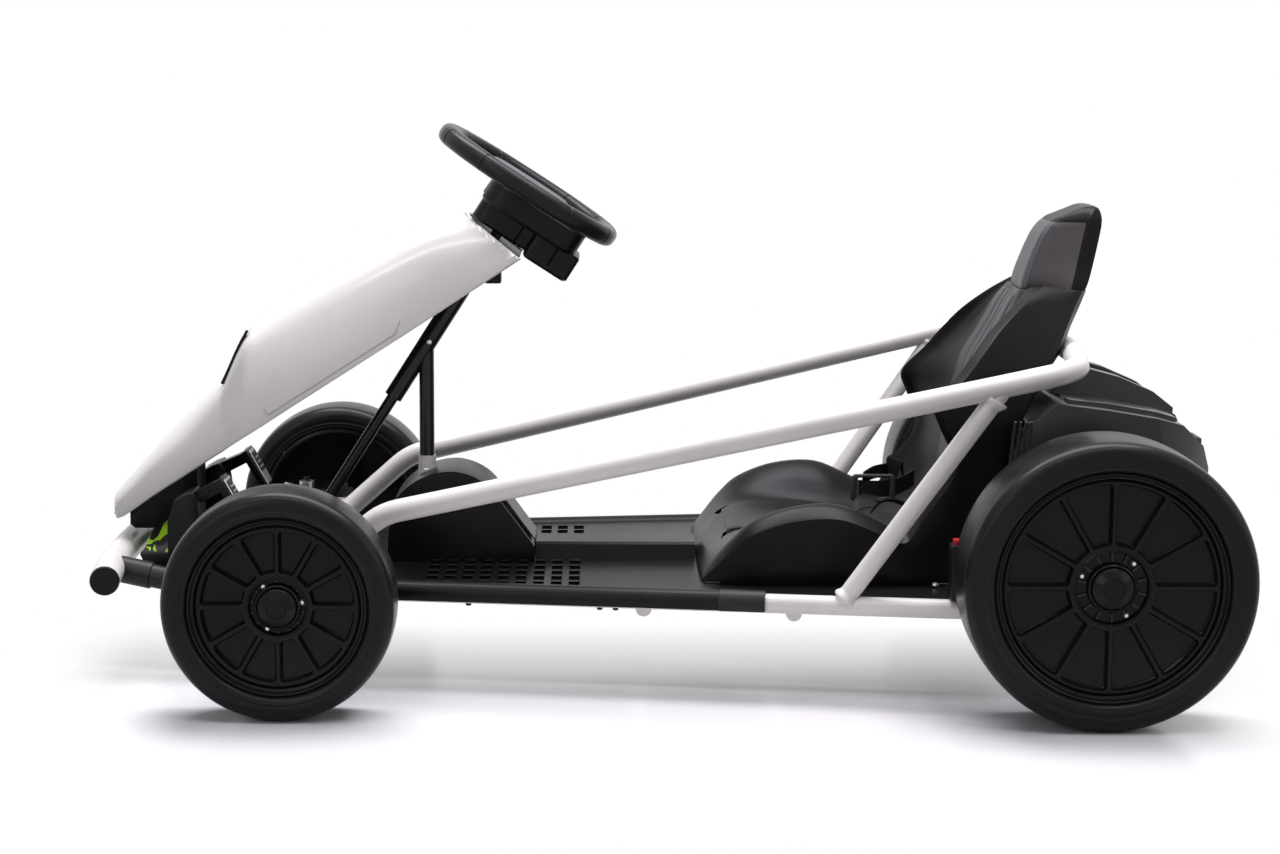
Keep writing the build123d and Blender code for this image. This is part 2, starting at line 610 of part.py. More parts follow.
with BuildPart() as rear_cover:
    add(side_plate(REAR_DECK, COVER_HALF))
    add(side_plate(REAR_HUMP, HUMP_Y))
    add(side_plate(REAR_DECK_IN, COVER_HALF - COVER_T), mode=Mode.SUBTRACT)
    add(side_plate(REAR_HUMP_IN, HUMP_Y - COVER_T), mode=Mode.SUBTRACT)
    for side in (1, -1):
        with BuildSketch(Plane.XZ.offset(-side * 50.0)):
            with BuildLine():
                Polyline(
                    (-506.0, 345.0), (-516.0, 355.0), (-550.0, 346.0), (-592.0, 328.0), (-618.0, 308.0),
                    (-617.0, 299.0), (-588.0, 321.0), (-548.0, 339.0), close=True,
                )
            make_face()
        extrude(amount=13.0, both=True)
        with BuildSketch(Plane.XZ.offset(-side * 122.0)):
            with BuildLine():
                Polyline(
                    (-468.0, 323.0), (-474.0, 330.0), (-520.0, 325.6), (-580.0, 315.0), (-604.0, 307.0),
                    (-603.0, 300.0), (-575.0, 309.0), (-516.0, 319.0), close=True,
                )
            make_face()
        extrude(amount=24.0, both=True)
        for step in range(4):
            with Locations((-407.0 - 6.0 * step, side * 148.0, 262.0 + 7.0 * step)):
                Box(3.0, 44.0, 44.0)
    add(rail_keep, mode=Mode.SUBTRACT)
    add(back_block.part, mode=Mode.SUBTRACT)
cover_solid = rear_cover.part.solids().sort_by(SortBy.VOLUME)[-1]
save(cover_solid, "rear_cover")
with BuildPart() as tail_piece:
    with Locations((-656.1, 0, 254.0)):
        Box(11.6, 46.0, 26.0)
save(tail_piece.part, "tail_piece")

# Rear axle and the two drive units
with BuildPart() as rear_axle:
    with Locations((REAR_AXLE_X, 0, REAR_RADIUS)):
        Cylinder(9.0, 2 * (REAR_TRACK / 2 + 30.0), rotation=(90, 0, 0))
save(rear_axle.part, "rear_axle")
for side, name in ((1, "drive_left"), (-1, "drive_right")):
    with BuildPart() as drive:
        with Locations((REAR_AXLE_X - 14.0, side * (LOWER_Y_REAR - 56.0), REAR_RADIUS + 8.0)):
            Box(128.0, 52.0, 86.0)
        with Locations((REAR_AXLE_X - 48.0, side * (LOWER_Y_REAR - 114.0), REAR_RADIUS + 16.0)):
            Cylinder(24.0, 70.0, rotation=(90, 0, 0))
        with Locations((REAR_AXLE_X, 0, REAR_RADIUS)):
            Cylinder(9.3, 800.0, rotation=(90, 0, 0), mode=Mode.SUBTRACT)
        add(cover_solid, mode=Mode.SUBTRACT)
    save(drive.part.solids().sort_by(SortBy.VOLUME)[-1], name)

# Switch holder by the left rear wheel
SWITCH_X = -334.0
SWITCH_Y = tube_y(SWITCH_X) + 2.9
with BuildPart() as switch_holder:
    with Locations((SWITCH_X, SWITCH_Y, 153.0)):
        Box(24.0, 24.0, 62.0)
    with Locations((SWITCH_X, SWITCH_Y, 160.0)):
        Box(18.0, 18.0, 60.0, mode=Mode.SUBTRACT)
    add(lower_keep_left, mode=Mode.SUBTRACT)
save(switch_holder.part, "switch_holder")
with BuildPart() as switch_knob:
    with Locations((SWITCH_X, SWITCH_Y, 160.0)):
        Box(17.2, 17.2, 58.8)
save(switch_knob.part, "switch_knob")

# Steering wheel, hub housing and shaft
with BuildPart() as steering_wheel:
    with BuildSketch(Plane(origin=on_column(0), x_dir=(-axis_z, 0, axis_x), z_dir=(0, -1, 0))):
        with Locations((RIM_R, 0)):
            RegularPolygon(RIM_TUBE / math.cos(math.pi / 8), 8, rotation=22.5)
    revolve(axis=Axis(on_column(0), (axis_x, 0, axis_z)))
    with BuildSketch(column_plane(-4.0)):
        Rectangle(30.0, 2 * RIM_R - 6)
        with Locations((-RIM_R / 2, 0)):
            Rectangle(RIM_R, 34.0)
        Circle(44.0)
    extrude(amount=16.0)
save(steering_wheel.part, "steering_wheel")
HUB_TOP = 12.3
HUB_MID = 42.0
HUB_END = 63.0
HUB_BOX_END = 73.5
with BuildPart() as steering_hub:
    with BuildSketch(column_plane(HUB_TOP)):
        with Locations((-26.0, 0)):
            RectangleRounded(130.0, 124.0, 26.0)
    extrude(amount=HUB_MID - HUB_TOP)
    with BuildSketch(column_plane(HUB_MID)):
        with Locations((-4.0, 0)):
            RectangleRounded(80.0, 96.0, 22.0)
    extrude(amount=HUB_END - HUB_MID)
    with BuildSketch(column_plane(HUB_MID)):
        with Locations((-74.0, 0)):
            RectangleRounded(50.0, 104.0, 8.0)
    extrude(amount=HUB_BOX_END - HUB_MID)
save(steering_hub.part, "steering_hub")

PITMAN = 482.0
ROD_LIFT = 12.0


def arm_tip(distance):
    """Point on the steering arm's pin, at a distance along the column."""
    centre = on_column(distance)
    return (centre[0] - axis_z * STEER_ARM, 0.0, centre[2] + axis_x * STEER_ARM)


with BuildPart() as steering_shaft:
    add(column_bar(HUB_END + SEAT_GAP, 528.0, SHAFT_R, 0))
    with BuildSketch(column_plane(PITMAN - 3.0)):
        Circle(13.0)
        with Locations((STEER_ARM / 2, 0)):
            Rectangle(STEER_ARM, 18.0)
        with Locations((STEER_ARM, 0)):
            Circle(9.0)
    extrude(amount=6.0)
    with BuildSketch(column_plane(PITMAN - ROD_LIFT - 6.0)):
        with Locations((STEER_ARM, 0)):
            Circle(4.0)
    extrude(amount=2 * ROD_LIFT + 12.0)
save(steering_shaft.part, "steering_shaft")

# Knuckles with stub axles, and tie rods
for side, name in ((1, "left"), (-1, "right")):
    with BuildPart() as knuckle:
        for z in (149.2, 94.8):
            with BuildSketch(Plane.XY.offset(z - 3.0)):
                with BuildLine():
                    Polyline(
                        (KINGPIN_X - 14, side * (KINGPIN_Y - 14)), (KINGPIN_X + 14, side * (KINGPIN_Y - 14)),
                        (KINGPIN_X + 14, side * (KINGPIN_Y + 26)), (KINGPIN_X - 14, side * (KINGPIN_Y + 26)),
                        close=True,
                    )
                make_face()
            extrude(amount=6.0)
        with Locations((KINGPIN_X, side * (KINGPIN_Y + 23.0), 122.0)):
            Box(28.0, 6.0, 60.4)
        with Locations((KINGPIN_X, side * KINGPIN_Y, 124.0)):
            Cylinder(6.0, 72.0)
        with Locations((KINGPIN_X, side * KINGPIN_Y, 157.0)):
            Cylinder(9.5, 9.6)
        with BuildSketch(Plane.XY.offset(146.2)):
            with Locations((KINGPIN_X + STEER_ARM / 2, side * KINGPIN_Y)):
                Rectangle(STEER_ARM, 16.0)
            with Locations((KINGPIN_X + STEER_ARM, side * KINGPIN_Y)):
                Circle(8.0)
        extrude(amount=6.0)
        with Locations((KINGPIN_X + STEER_ARM, side * KINGPIN_Y, 160.0)):
            Cylinder(4.0, 20.0)
        with Locations((FRONT_AXLE_X, side * (KINGPIN_Y + STUB / 2 + 24.0), FRONT_RADIUS)):
            Cylinder(7.0, STUB, rotation=(90, 0, 0))
    save(knuckle.part, "knuckle_" + name)
    outer_pin = (KINGPIN_X + STEER_ARM, side * KINGPIN_Y, 161.0)
    inner_place = PITMAN - side * ROD_LIFT
    inner_pin = arm_tip(inner_place)
    rod_run = [
        (outer_pin[0], outer_pin[1] - side * 8, outer_pin[2]),
        (inner_pin[0], side * 10.0, inner_pin[2]),
    ]
    bar = rod(rod_run, [], 5.0)
    with BuildPart() as tie_rod:
        add(bar)
        with Locations(outer_pin):
            Cylinder(10.0, 8.0)
        with BuildSketch(column_plane(inner_place - 3.0)):
            with Locations((STEER_ARM, 0)):
                Circle(10.0)
        extrude(amount=6.0)
        with Locations(outer_pin):
            Cylinder(4.6, 30.0, mode=Mode.SUBTRACT)
        with BuildSketch(column_plane(inner_place - 12.0)):
            with Locations((STEER_ARM, 0)):
                Circle(5.4)
        extrude(amount=24.0, mode=Mode.SUBTRACT)
    save(tie_rod.part, "tie_rod_" + name)

# Wheels: smooth tyre and spoked disc
WHEELS = [
    # name, x, y, radius, width, lip radius, hub ring radius, cap radius, side
    ("front_left", FRONT_AXLE_X, FRONT_TRACK / 2, FRONT_RADIUS, FRONT_WIDTH, FRONT_LIP, 32.0, 21.5, 1),
    ("front_right", FRONT_AXLE_X, -FRONT_TRACK / 2, FRONT_RADIUS, FRONT_WIDTH, FRONT_LIP, 32.0, 21.5, -1),
    ("rear_left", REAR_AXLE_X, REAR_TRACK / 2, REAR_RADIUS, REAR_WIDTH, REAR_LIP, 40.0, 22.7, 1),
    ("rear_right", REAR_AXLE_X, -REAR_TRACK / 2, REAR_RADIUS, REAR_WIDTH, REAR_LIP, 40.0, 22.7, -1),
]


def pocket(inner, outer, web, corner):
    """Corner points of one pocket between two spokes, about the local X axis."""
    half = math.pi / SPOKES

    def beside(radius, offset):
        turn = half - math.asin(offset / radius)
        return radius * math.cos(turn), radius * math.sin(turn)

    upper = [
        (inner, 0.0), beside(inner, web / 2 + corner * 0.7), beside(inner + corner * 0.7, web / 2),
        beside(outer - corner, web / 2), beside(outer - corner * 0.3, web / 2 + corner * 0.3),
        beside(outer, web / 2 + corner),
    ]
    return upper + [(outer, 0.0)] + [(a, -b) for a, b in reversed(upper[1:])]


for name, x, y, radius, width, lip, hub, cap, side in WHEELS:
    half = width / 2
    bore = 7.3 if name.startswith("front") else 9.3
    spin = Axis((x, y, radius), (0, 1, 0))
    across = Plane(origin=(x, y, radius), x_dir=(1, 0, 0), z_dir=(0, 0, 1))
    with BuildPart() as tyre:
        with BuildSketch(across):
            with BuildLine():
                Polyline(
                    (lip, -half + 4), (lip + 5, -half), (radius - 14, -half + 1.2), (radius - 3.5, -half + 9.5),
                    (radius, -half + 26), (radius, half - 26), (radius - 3.5, half - 9.5),
                    (radius - 14, half - 1.2), (lip + 5, half), (lip, half - 4), close=True,
                )
            make_face()
        revolve(axis=spin)
    save(tyre.part, "tyre_" + name)
    face = half - RIM_SET
    with BuildPart() as disc:
        with BuildSketch(across):
            with BuildLine():
                Polyline(
                    (lip - 0.3, -side * (half - 8)), (lip - 0.3, side * (half - 7)), (lip - 3, side * (half - 7)),
                    (lip - 8, side * (face + 1)), (lip - 10, side * face), (hub + 1, side * face),
                    (hub, side * (face + 1.4)), (hub - 2, side * (face + 1.4)), (hub - 3, side * (face - 5.5)),
                    (cap + 3, side * (face - 5.5)), (cap + 2, side * (face + 3)), (cap, side * (face + 3)),
                    (cap, side * (half - 4)), (cap - 4, side * (half - 1)), (0, side * (half - 1)),
                    (0, side * (face - 50)), (14, side * (face - 50)), (18, side * (face - 12.5)),
                    (lip - 12, side * (face - 13.5)), (lip - 8, -side * (half - 8)), close=True,
                )
            make_face()
        revolve(axis=spin)
        pockets = Plane(origin=(x, y + side * face, radius), x_dir=(1, 0, 0), z_dir=(0, -side, 0))
        with BuildSketch(pockets):
            with PolarLocations(0, SPOKES):
                Polygon(*pocket(hub * 1.14, lip * 0.86 - 6.0, SPOKE_WEB, 9.0), align=None)
        extrude(amount=POCKET_DEPTH, mode=Mode.SUBTRACT)
        with Locations((x, y - side * 30, radius)):
            Cylinder(bore, width + 20, rotation=(90, 0, 0), mode=Mode.SUBTRACT)
    save(disc.part, "rim_" + name)
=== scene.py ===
import json
import math
import bmesh
import bpy
from mathutils import Matrix, Vector


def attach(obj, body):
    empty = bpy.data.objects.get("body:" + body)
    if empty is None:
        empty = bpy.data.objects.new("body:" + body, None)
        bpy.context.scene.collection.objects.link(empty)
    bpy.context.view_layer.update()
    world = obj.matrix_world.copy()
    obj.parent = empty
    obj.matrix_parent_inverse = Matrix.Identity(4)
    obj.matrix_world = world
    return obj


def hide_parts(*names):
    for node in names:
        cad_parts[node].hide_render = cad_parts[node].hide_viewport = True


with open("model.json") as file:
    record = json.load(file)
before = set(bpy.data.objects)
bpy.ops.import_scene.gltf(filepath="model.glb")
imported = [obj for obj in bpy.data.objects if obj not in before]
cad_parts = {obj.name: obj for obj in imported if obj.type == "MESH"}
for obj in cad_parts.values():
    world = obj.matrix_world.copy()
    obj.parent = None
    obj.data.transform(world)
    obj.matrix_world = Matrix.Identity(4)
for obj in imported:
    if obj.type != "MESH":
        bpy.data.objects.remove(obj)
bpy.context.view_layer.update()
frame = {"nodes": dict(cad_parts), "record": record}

MM = 0.001
HANDS = (("left", 1), ("right", -1))
nodes_in_frame = frame["nodes"]
body_of_node = {n: b for b, names in frame["record"]["behaviour"]["bodies"].items() for n in names}

# Sizes of the kart, in millimetres.
FRONT_AXLE = (420.0, 327.0, 128.0)
REAR_AXLE = (-480.0, 353.0, 160.0)
FLOOR = 117.0
COLUMN_TOP = (157.5, 0.0, 568.5)
COLUMN_TILT = math.radians(57.5)
COLUMN_DOWN = Vector((math.cos(COLUMN_TILT), 0, -math.sin(COLUMN_TILT)))
COLUMN_ACROSS = Vector((math.sin(COLUMN_TILT), 0, math.cos(COLUMN_TILT)))


# Node helpers.
def feed(tree, socket, value):
    """Link a socket from another node, or give it a plain value; a colour may leave out its alpha."""
    if isinstance(value, bpy.types.NodeSocket):
        tree.links.new(value, socket)
    elif socket.type == "RGBA" and len(value) == 3:
        socket.default_value = (*value, 1.0)
    else:
        socket.default_value = value


def fill(tree, made, values):
    for key, value in values.items():
        feed(tree, made.inputs[key], value)
    return made


def node(tree, kind, x, y, values=None, **settings):
    """A node with its settings; values gives its inputs by name or number."""
    made = tree.nodes.new(kind)
    made.location = (x, y)
    for key, setting in settings.items():
        setattr(made, key, setting)
    return fill(tree, made, values or {})


def math_node(tree, operation, x, y, *values, clamp=False):
    made = node(tree, "ShaderNodeMath", x, y, dict(enumerate(values)), operation=operation, use_clamp=clamp)
    return made.outputs[0]


def mix_colour(tree, x, y, factor, first, second):
    made = node(tree, "ShaderNodeMix", x, y, {0: factor, 6: first, 7: second}, data_type="RGBA")
    return made.outputs[2]


def remap(tree, x, y, value, low, high, new_low=0.0, new_high=1.0):
    """Spread the values from low to high over new_low to new_high."""
    values = {"Value": value, "From Min": low, "From Max": high, "To Min": new_low, "To Max": new_high}
    return node(tree, "ShaderNodeMapRange", x, y, values).outputs["Result"]


def facing_up(tree, x, y, kind, low, high):
    """A mask of the faces that look up: nothing below low, full above high."""
    shape = node(tree, "ShaderNodeNewGeometry", x, y)
    parts = node(tree, "ShaderNodeSeparateXYZ", x + 200, y, {0: shape.outputs[kind]})
    return remap(tree, x + 400, y, parts.outputs["Z"], low, high)


def new_group(name, inputs, outputs, left, right, kind="ShaderNodeTree"):
    """A node group; each input is a name, a kind and, where wanted, a value, a least and a most."""
    tree = bpy.data.node_groups.new(name, kind)
    for way, sockets in (("INPUT", inputs), ("OUTPUT", outputs)):
        for label, sort, *limits in sockets:
            made = tree.interface.new_socket(name=label, in_out=way, socket_type="NodeSocket" + sort)
            for key, value in zip(("default_value", "min_value", "max_value"), limits):
                setattr(made, key, value)
    return tree, node(tree, "NodeGroupInput", left, 0), node(tree, "NodeGroupOutput", right, 0)


# Shared effects.
def moulded_grain_group():
    """Fine leather-like pebble of moulded plastic: a colour mask and a normal."""
    tree, enter, leave = new_group(
        "moulded_grain", [("Vector", "Vector"), ("Scale", "Float", 900.0), ("Depth", "Float", 0.2)],
        [("Cloud", "Float"), ("Normal", "Vector")], -900, 500)
    place, scale = enter.outputs["Vector"], enter.outputs["Scale"]
    cells = node(tree, "ShaderNodeTexVoronoi", -600, 150, feature="SMOOTH_F1")
    fill(tree, cells, {"Smoothness": 0.6, "Vector": place, "Scale": scale})
    finer = math_node(tree, "MULTIPLY", -760, -220, scale, 1.7)
    noise = node(tree, "ShaderNodeTexNoise", -600, -150, {"Detail": 3.0, "Vector": place, "Scale": finer})
    broad = node(tree, "ShaderNodeTexNoise", -600, -400, {"Scale": 9.0, "Detail": 4.0, "Vector": place})
    height = math_node(tree, "MULTIPLY_ADD", -300, 60, cells.outputs["Distance"], -0.7, noise.outputs["Fac"])
    bump = node(tree, "ShaderNodeBump", 200, -60,
                {"Distance": 0.0002, "Strength": enter.outputs["Depth"], "Height": height})
    fill(tree, leave, {"Cloud": remap(tree, -300, -400, broad.outputs["Fac"], 0.3, 0.7),
                       "Normal": bump.outputs["Normal"]})
    return tree


def marks_and_top_light_group():
    """A lighter mask on faces that look up, part dust and part painted top light, and thin rubbed streaks: two masks.
    """
    tree, enter, leave = new_group(
        "handling_marks", [("Vector", "Vector"), ("Streak Scale", "Float", 30.0), ("Amount", "Float", 0.5)],
        [("Dust", "Float"), ("Rubbed", "Float")], -900, 600)
    place, amount = enter.outputs["Vector"], enter.outputs["Amount"]
    upward = facing_up(tree, -900, -300, "Normal", 0.35, 1.0)
    noise = node(tree, "ShaderNodeTexNoise", -700, 100, {"Scale": 14.0, "Detail": 6.0, "Vector": place})
    patchy = remap(tree, -500, 100, noise.outputs["Fac"], 0.42, 0.68)
    # Lighter on upward faces: patchy dust, and partly painted light falling from above.
    dust = math_node(tree, "MULTIPLY", -250, 0, upward, patchy)
    stretch = node(tree, "ShaderNodeMapping", -700, -560, {"Scale": (0.25, 1.0, 1.6), "Vector": place})
    streak = node(tree, "ShaderNodeTexNoise", -500, -560,
                  {"Detail": 8.0, "Roughness": 0.7, "Vector": stretch.outputs["Vector"],
                   "Scale": enter.outputs["Streak Scale"]})
    thin = remap(tree, -250, -560, streak.outputs["Fac"], 0.56, 0.7)
    fill(tree, leave, {"Dust": math_node(tree, "MULTIPLY", 0, 0, dust, amount, clamp=True),
                       "Rubbed": math_node(tree, "MULTIPLY", 0, -400, thin, amount, clamp=True)})
    return tree


def turned_rings_group():
    """Rings round a wheel's own axis: a faint line pattern by radius, scuffs and a normal."""
    tree, enter, leave = new_group(
        "turned_rings", [("Vector", "Vector"), ("Lines", "Float", 400.0), ("Depth", "Float", 0.2)],
        [("Ring", "Float"), ("Scuff", "Float"), ("Normal", "Vector")], -1100, 600)
    place = enter.outputs["Vector"]
    flat = node(tree, "ShaderNodeVectorMath", -900, 0, {0: place, 1: (1.0, 0.0, 1.0)}, operation="MULTIPLY")
    length = node(tree, "ShaderNodeVectorMath", -700, 0, {0: flat.outputs[0]}, operation="LENGTH")
    parts = node(tree, "ShaderNodeSeparateXYZ", -900, -260, {0: place})
    angle = math_node(tree, "ARCTAN2", -700, -260, parts.outputs["Z"], parts.outputs["X"])
    around = math_node(tree, "MULTIPLY", -600, -260, angle, 0.006)
    spot = node(tree, "ShaderNodeCombineXYZ", -480, -100,
                {"X": length.outputs["Value"], "Y": parts.outputs["Y"], "Z": around}).outputs[0]
    ring = node(tree, "ShaderNodeTexNoise", -280, 60,
                {"Detail": 2.0, "Vector": spot, "Scale": enter.outputs["Lines"]}).outputs["Fac"]
    scuff = node(tree, "ShaderNodeTexNoise", -280, -240,
                 {"Scale": 120.0, "Detail": 7.0, "Vector": spot}).outputs["Fac"]
    bump = node(tree, "ShaderNodeBump", 200, -60,
                {"Distance": 0.0003, "Strength": enter.outputs["Depth"], "Height": ring})
    fill(tree, leave, {"Ring": remap(tree, 0, 160, ring, 0.35, 0.65),
                       "Scuff": remap(tree, 0, -260, scuff, 0.5, 0.72), "Normal": bump.outputs["Normal"]})
    return tree


GRAIN = moulded_grain_group()
MARKS_AND_TOP_LIGHT = marks_and_top_light_group()
RINGS = turned_rings_group()

# Finishes. A surface's roughness spreads this much round its middle, and rubbed streaks add to it.
ROUGH_SPREAD = 0.08
RUBBED_ROUGHER = 0.12
COOL_SHINE = (0.97, 0.92, 1.0)


def new_material(name, centre=(0, 0, 0)):
    """A bare material, with the place on the kart counted from the centre."""
    made = bpy.data.materials.new(name)
    made.use_nodes = True
    tree = made.node_tree
    tree.nodes.clear()
    shader = node(tree, "ShaderNodeBsdfPrincipled", 500, 0)
    node(tree, "ShaderNodeOutputMaterial", 800, 0, {"Surface": shader.outputs[0]})
    place = node(tree, "ShaderNodeTexCoord", -1500, 0)
    moved = node(tree, "ShaderNodeMapping", -1300, 0,
                 {"Location": tuple(-c * MM for c in centre), "Vector": place.outputs["Object"]})
    return made, tree, shader, moved.outputs["Vector"]


def use_group(tree, group, vector, x, y, **values):
    values = {key.replace("_", " ").title(): value for key, value in values.items()}
    return node(tree, "ShaderNodeGroup", x, y, {"Vector": vector, **values}, node_tree=group)


def moulded(name, dark, light, rough, grain=900.0, depth=0.25, metal=0.0, coat=0.0, dust=0.25, streak=30.0,
            specular=0.5):
    """A moulded, painted or coated surface: cloudy colour, grain, dust with painted top light on upward faces, and
    rubbed streaks.
    """
    made, tree, shader, place = new_material(name)
    pebble = use_group(tree, GRAIN, place, -900, 200, scale=grain, depth=depth)
    marks = use_group(tree, MARKS_AND_TOP_LIGHT, place, -900, -200, streak_scale=streak, amount=dust)
    cloud = pebble.outputs["Cloud"]
    plain = mix_colour(tree, -500, 300, cloud, dark, light)
    # The colour of upward faces: part dust, part painted top light.
    lighter = tuple(min(1.0, c * 1.35 + 0.03) for c in light)
    base = math_node(tree, "MULTIPLY_ADD", -500, -60, cloud, ROUGH_SPREAD, rough - ROUGH_SPREAD / 2)
    fill(tree, shader, {
        "Base Color": mix_colour(tree, -250, 250, marks.outputs["Dust"], plain, lighter),
        "Roughness": math_node(tree, "MULTIPLY_ADD", -250, -60, marks.outputs["Rubbed"], RUBBED_ROUGHER, base),
        "Normal": pebble.outputs["Normal"], "Metallic": metal, "Coat Weight": coat, "Coat Roughness": 0.12,
        "Specular IOR Level": specular, "Specular Tint": COOL_SHINE,
    })
    return made


def tyre_rubber(name, centre):
    made, tree, shader, place = new_material(name, centre)
    turned = use_group(tree, RINGS, place, -900, 200, lines=520.0, depth=0.16)
    pebble = use_group(tree, GRAIN, place, -900, -200, scale=700.0, depth=0.12)
    ring = turned.outputs["Ring"]
    base = mix_colour(tree, -500, 300, pebble.outputs["Cloud"], (0.0030, 0.0027, 0.0034), (0.0052, 0.0048, 0.0057))
    lined = mix_colour(tree, -300, 260, ring, base, (0.0072, 0.0067, 0.0078))
    scuff = math_node(tree, "MULTIPLY", -500, 0, turned.outputs["Scuff"], 0.35)
    fill(tree, shader, {
        "Base Color": mix_colour(tree, -100, 200, scuff, lined, (0.018, 0.0165, 0.0190)),
        "Roughness": math_node(tree, "MULTIPLY_ADD", -300, -100, ring, 0.07, 0.27),
        "Normal": turned.outputs["Normal"], "Specular IOR Level": 0.14, "Specular Tint": COOL_SHINE,
    })
    return made


def wheel_gloss(name, centre):
    made, tree, shader, place = new_material(name, centre)
    turned = use_group(tree, RINGS, place, -900, 200, lines=900.0, depth=0.05)
    cloud = use_group(tree, GRAIN, place, -900, -200, scale=1200.0, depth=0.1).outputs["Cloud"]
    fill(tree, shader, {
        "Base Color": mix_colour(tree, -500, 300, cloud, (0.0040, 0.0038, 0.0044), (0.0072, 0.0068, 0.0076)),
        "Roughness": math_node(tree, "MULTIPLY_ADD", -300, -100, turned.outputs["Scuff"], 0.1, 0.2),
        "Normal": turned.outputs["Normal"], "Specular IOR Level": 0.13, "Specular Tint": COOL_SHINE,
    })
    return made


FRAME_WHITE = moulded("frame_white", (0.62, 0.585, 0.59), (0.69, 0.655, 0.66), 0.36, grain=420.0, depth=0.10,
                      coat=0.25, dust=0.05, streak=18.0, specular=0.35)
SHELL_WHITE = moulded("shell_white", (0.63, 0.595, 0.60), (0.68, 0.65, 0.655), 0.26, grain=240.0, depth=0.05,
                      coat=0.3, dust=0.03, streak=12.0, specular=0.35)
# Darker white for the pressed lines: painted shade in the nose's groove.
GROOVE_SHADE_WHITE = moulded("pressed_white", (0.40, 0.38, 0.385), (0.46, 0.44, 0.445), 0.3, grain=240.0, depth=0.05,
                        dust=0.03, specular=0.3)
SATIN_BLACK = moulded("satin_black", (0.0032, 0.0030, 0.0036), (0.0062, 0.0058, 0.0068), 0.34, grain=1100.0,
                      depth=0.4, dust=0.05, specular=0.14)
SEAT_BLACK = moulded("seat_black", (0.0032, 0.0029, 0.0037), (0.0060, 0.0055, 0.0068), 0.34, grain=1300.0,
                     depth=0.3, dust=0.03, specular=0.11)
HEAD_SIDE = moulded("headrest_side", (0.062, 0.055, 0.060), (0.080, 0.071, 0.077), 0.44, grain=1300.0, depth=0.4,
                    dust=0.05, specular=0.16)
HEAD_FRONT = moulded("headrest_front", (0.040, 0.041, 0.047), (0.054, 0.055, 0.062), 0.40, grain=1300.0, depth=0.4,
                     dust=0.05, specular=0.2)
PAD_GREY = moulded("pad_grey", (0.024, 0.0245, 0.028), (0.034, 0.035, 0.040), 0.42, grain=1300.0, depth=0.45,
                   dust=0.06, specular=0.25)
SLEEVE_BLACK = moulded("sleeve_black", (0.010, 0.0096, 0.0105), (0.016, 0.0152, 0.0165), 0.42, grain=600.0,
                       depth=0.3, dust=0.06, specular=0.2)
METAL_BLACK = moulded("metal_black", (0.0075, 0.0074, 0.008), (0.0125, 0.012, 0.013), 0.30, grain=500.0, depth=0.2,
                      coat=0.12, dust=0.06, specular=0.2)
STEEL = moulded("plated_steel", (0.50, 0.49, 0.48), (0.62, 0.61, 0.60), 0.30, grain=300.0, depth=0.1, metal=1.0,
                dust=0.1)
GRIP = moulded("grip_rubber", (0.0060, 0.0056, 0.0067), (0.0098, 0.0092, 0.0108), 0.33, grain=420.0, depth=0.12,
               dust=0.04, specular=0.17)
CASE = moulded("battery_case", (0.010, 0.010, 0.011), (0.015, 0.015, 0.016), 0.5, grain=700.0, depth=0.3,
               specular=0.15)
RED = moulded("switch_red", (0.45, 0.015, 0.02), (0.58, 0.02, 0.03), 0.35, grain=800.0, depth=0.15, coat=0.3)
COVER_BLACK = moulded("cover_black", (0.0200, 0.0188, 0.0215), (0.0280, 0.0265, 0.0300), 0.25, grain=1200.0,
                      depth=0.2, dust=0.06, specular=0.26)
# Near black: the dark seams on the steering case, and painted shade inside the floor slots.
VOID_BLACK = moulded("void_black", (0.0012, 0.0012, 0.0013), (0.0022, 0.0022, 0.0023), 0.7, grain=900.0, depth=0.2,
                     dust=0.0, specular=0.05)
WEBBING = moulded("belt_webbing", (0.0045, 0.0044, 0.0048), (0.0085, 0.0082, 0.009), 0.62, grain=640.0, depth=1.0,
                  dust=0.05, specular=0.15)
BUCKLE = moulded("buckle_grey", (0.028, 0.028, 0.031), (0.040, 0.040, 0.044), 0.34, grain=900.0, depth=0.25, dust=0.05,
                 specular=0.35)


def splash_finish():
    """Black cover whose upward faces carry a broken lime pattern of slanting patches."""
    made, tree, shader, place = new_material("splash_cover", (575.0, 0.0, 145.0))
    pebble = use_group(tree, GRAIN, place, -900, 400, scale=1100.0, depth=0.35)
    turned = node(tree, "ShaderNodeMapping", -1100, -200,
                  {"Rotation": (0.0, 0.0, 0.62), "Scale": (1.0, 0.62, 0.4), "Vector": place}).outputs["Vector"]
    chips = node(tree, "ShaderNodeTexVoronoi", -900, -150, feature="F1", distance="MANHATTAN")
    fill(tree, chips, {"Scale": 58.0, "Vector": turned})
    fray = node(tree, "ShaderNodeTexNoise", -900, -400, {"Scale": 150.0, "Detail": 5.0, "Vector": turned})
    split = node(tree, "ShaderNodeSeparateColor", -700, -150, {0: chips.outputs["Color"]})
    rough_edge = math_node(tree, "MULTIPLY_ADD", -500, -250, fray.outputs["Fac"], 0.42, split.outputs[0])
    patch = remap(tree, -300, -250, rough_edge, 0.66, 0.69)
    upward = facing_up(tree, -900, -650, "True Normal", 0.28, 0.34)
    mask = math_node(tree, "MULTIPLY", -100, -400, patch, upward)
    base = mix_colour(tree, -300, 300, pebble.outputs["Cloud"], (0.0075, 0.0072, 0.008), (0.013, 0.0125, 0.014))
    fill(tree, shader, {
        "Base Color": mix_colour(tree, 100, 200, mask, base, (0.33, 0.62, 0.018)),
        "Roughness": remap(tree, 100, -100, mask, 0.0, 1.0, 0.42, 0.30),
        "Normal": pebble.outputs["Normal"], "Specular IOR Level": 0.25,
    })
    return made


SPLASH = splash_finish()

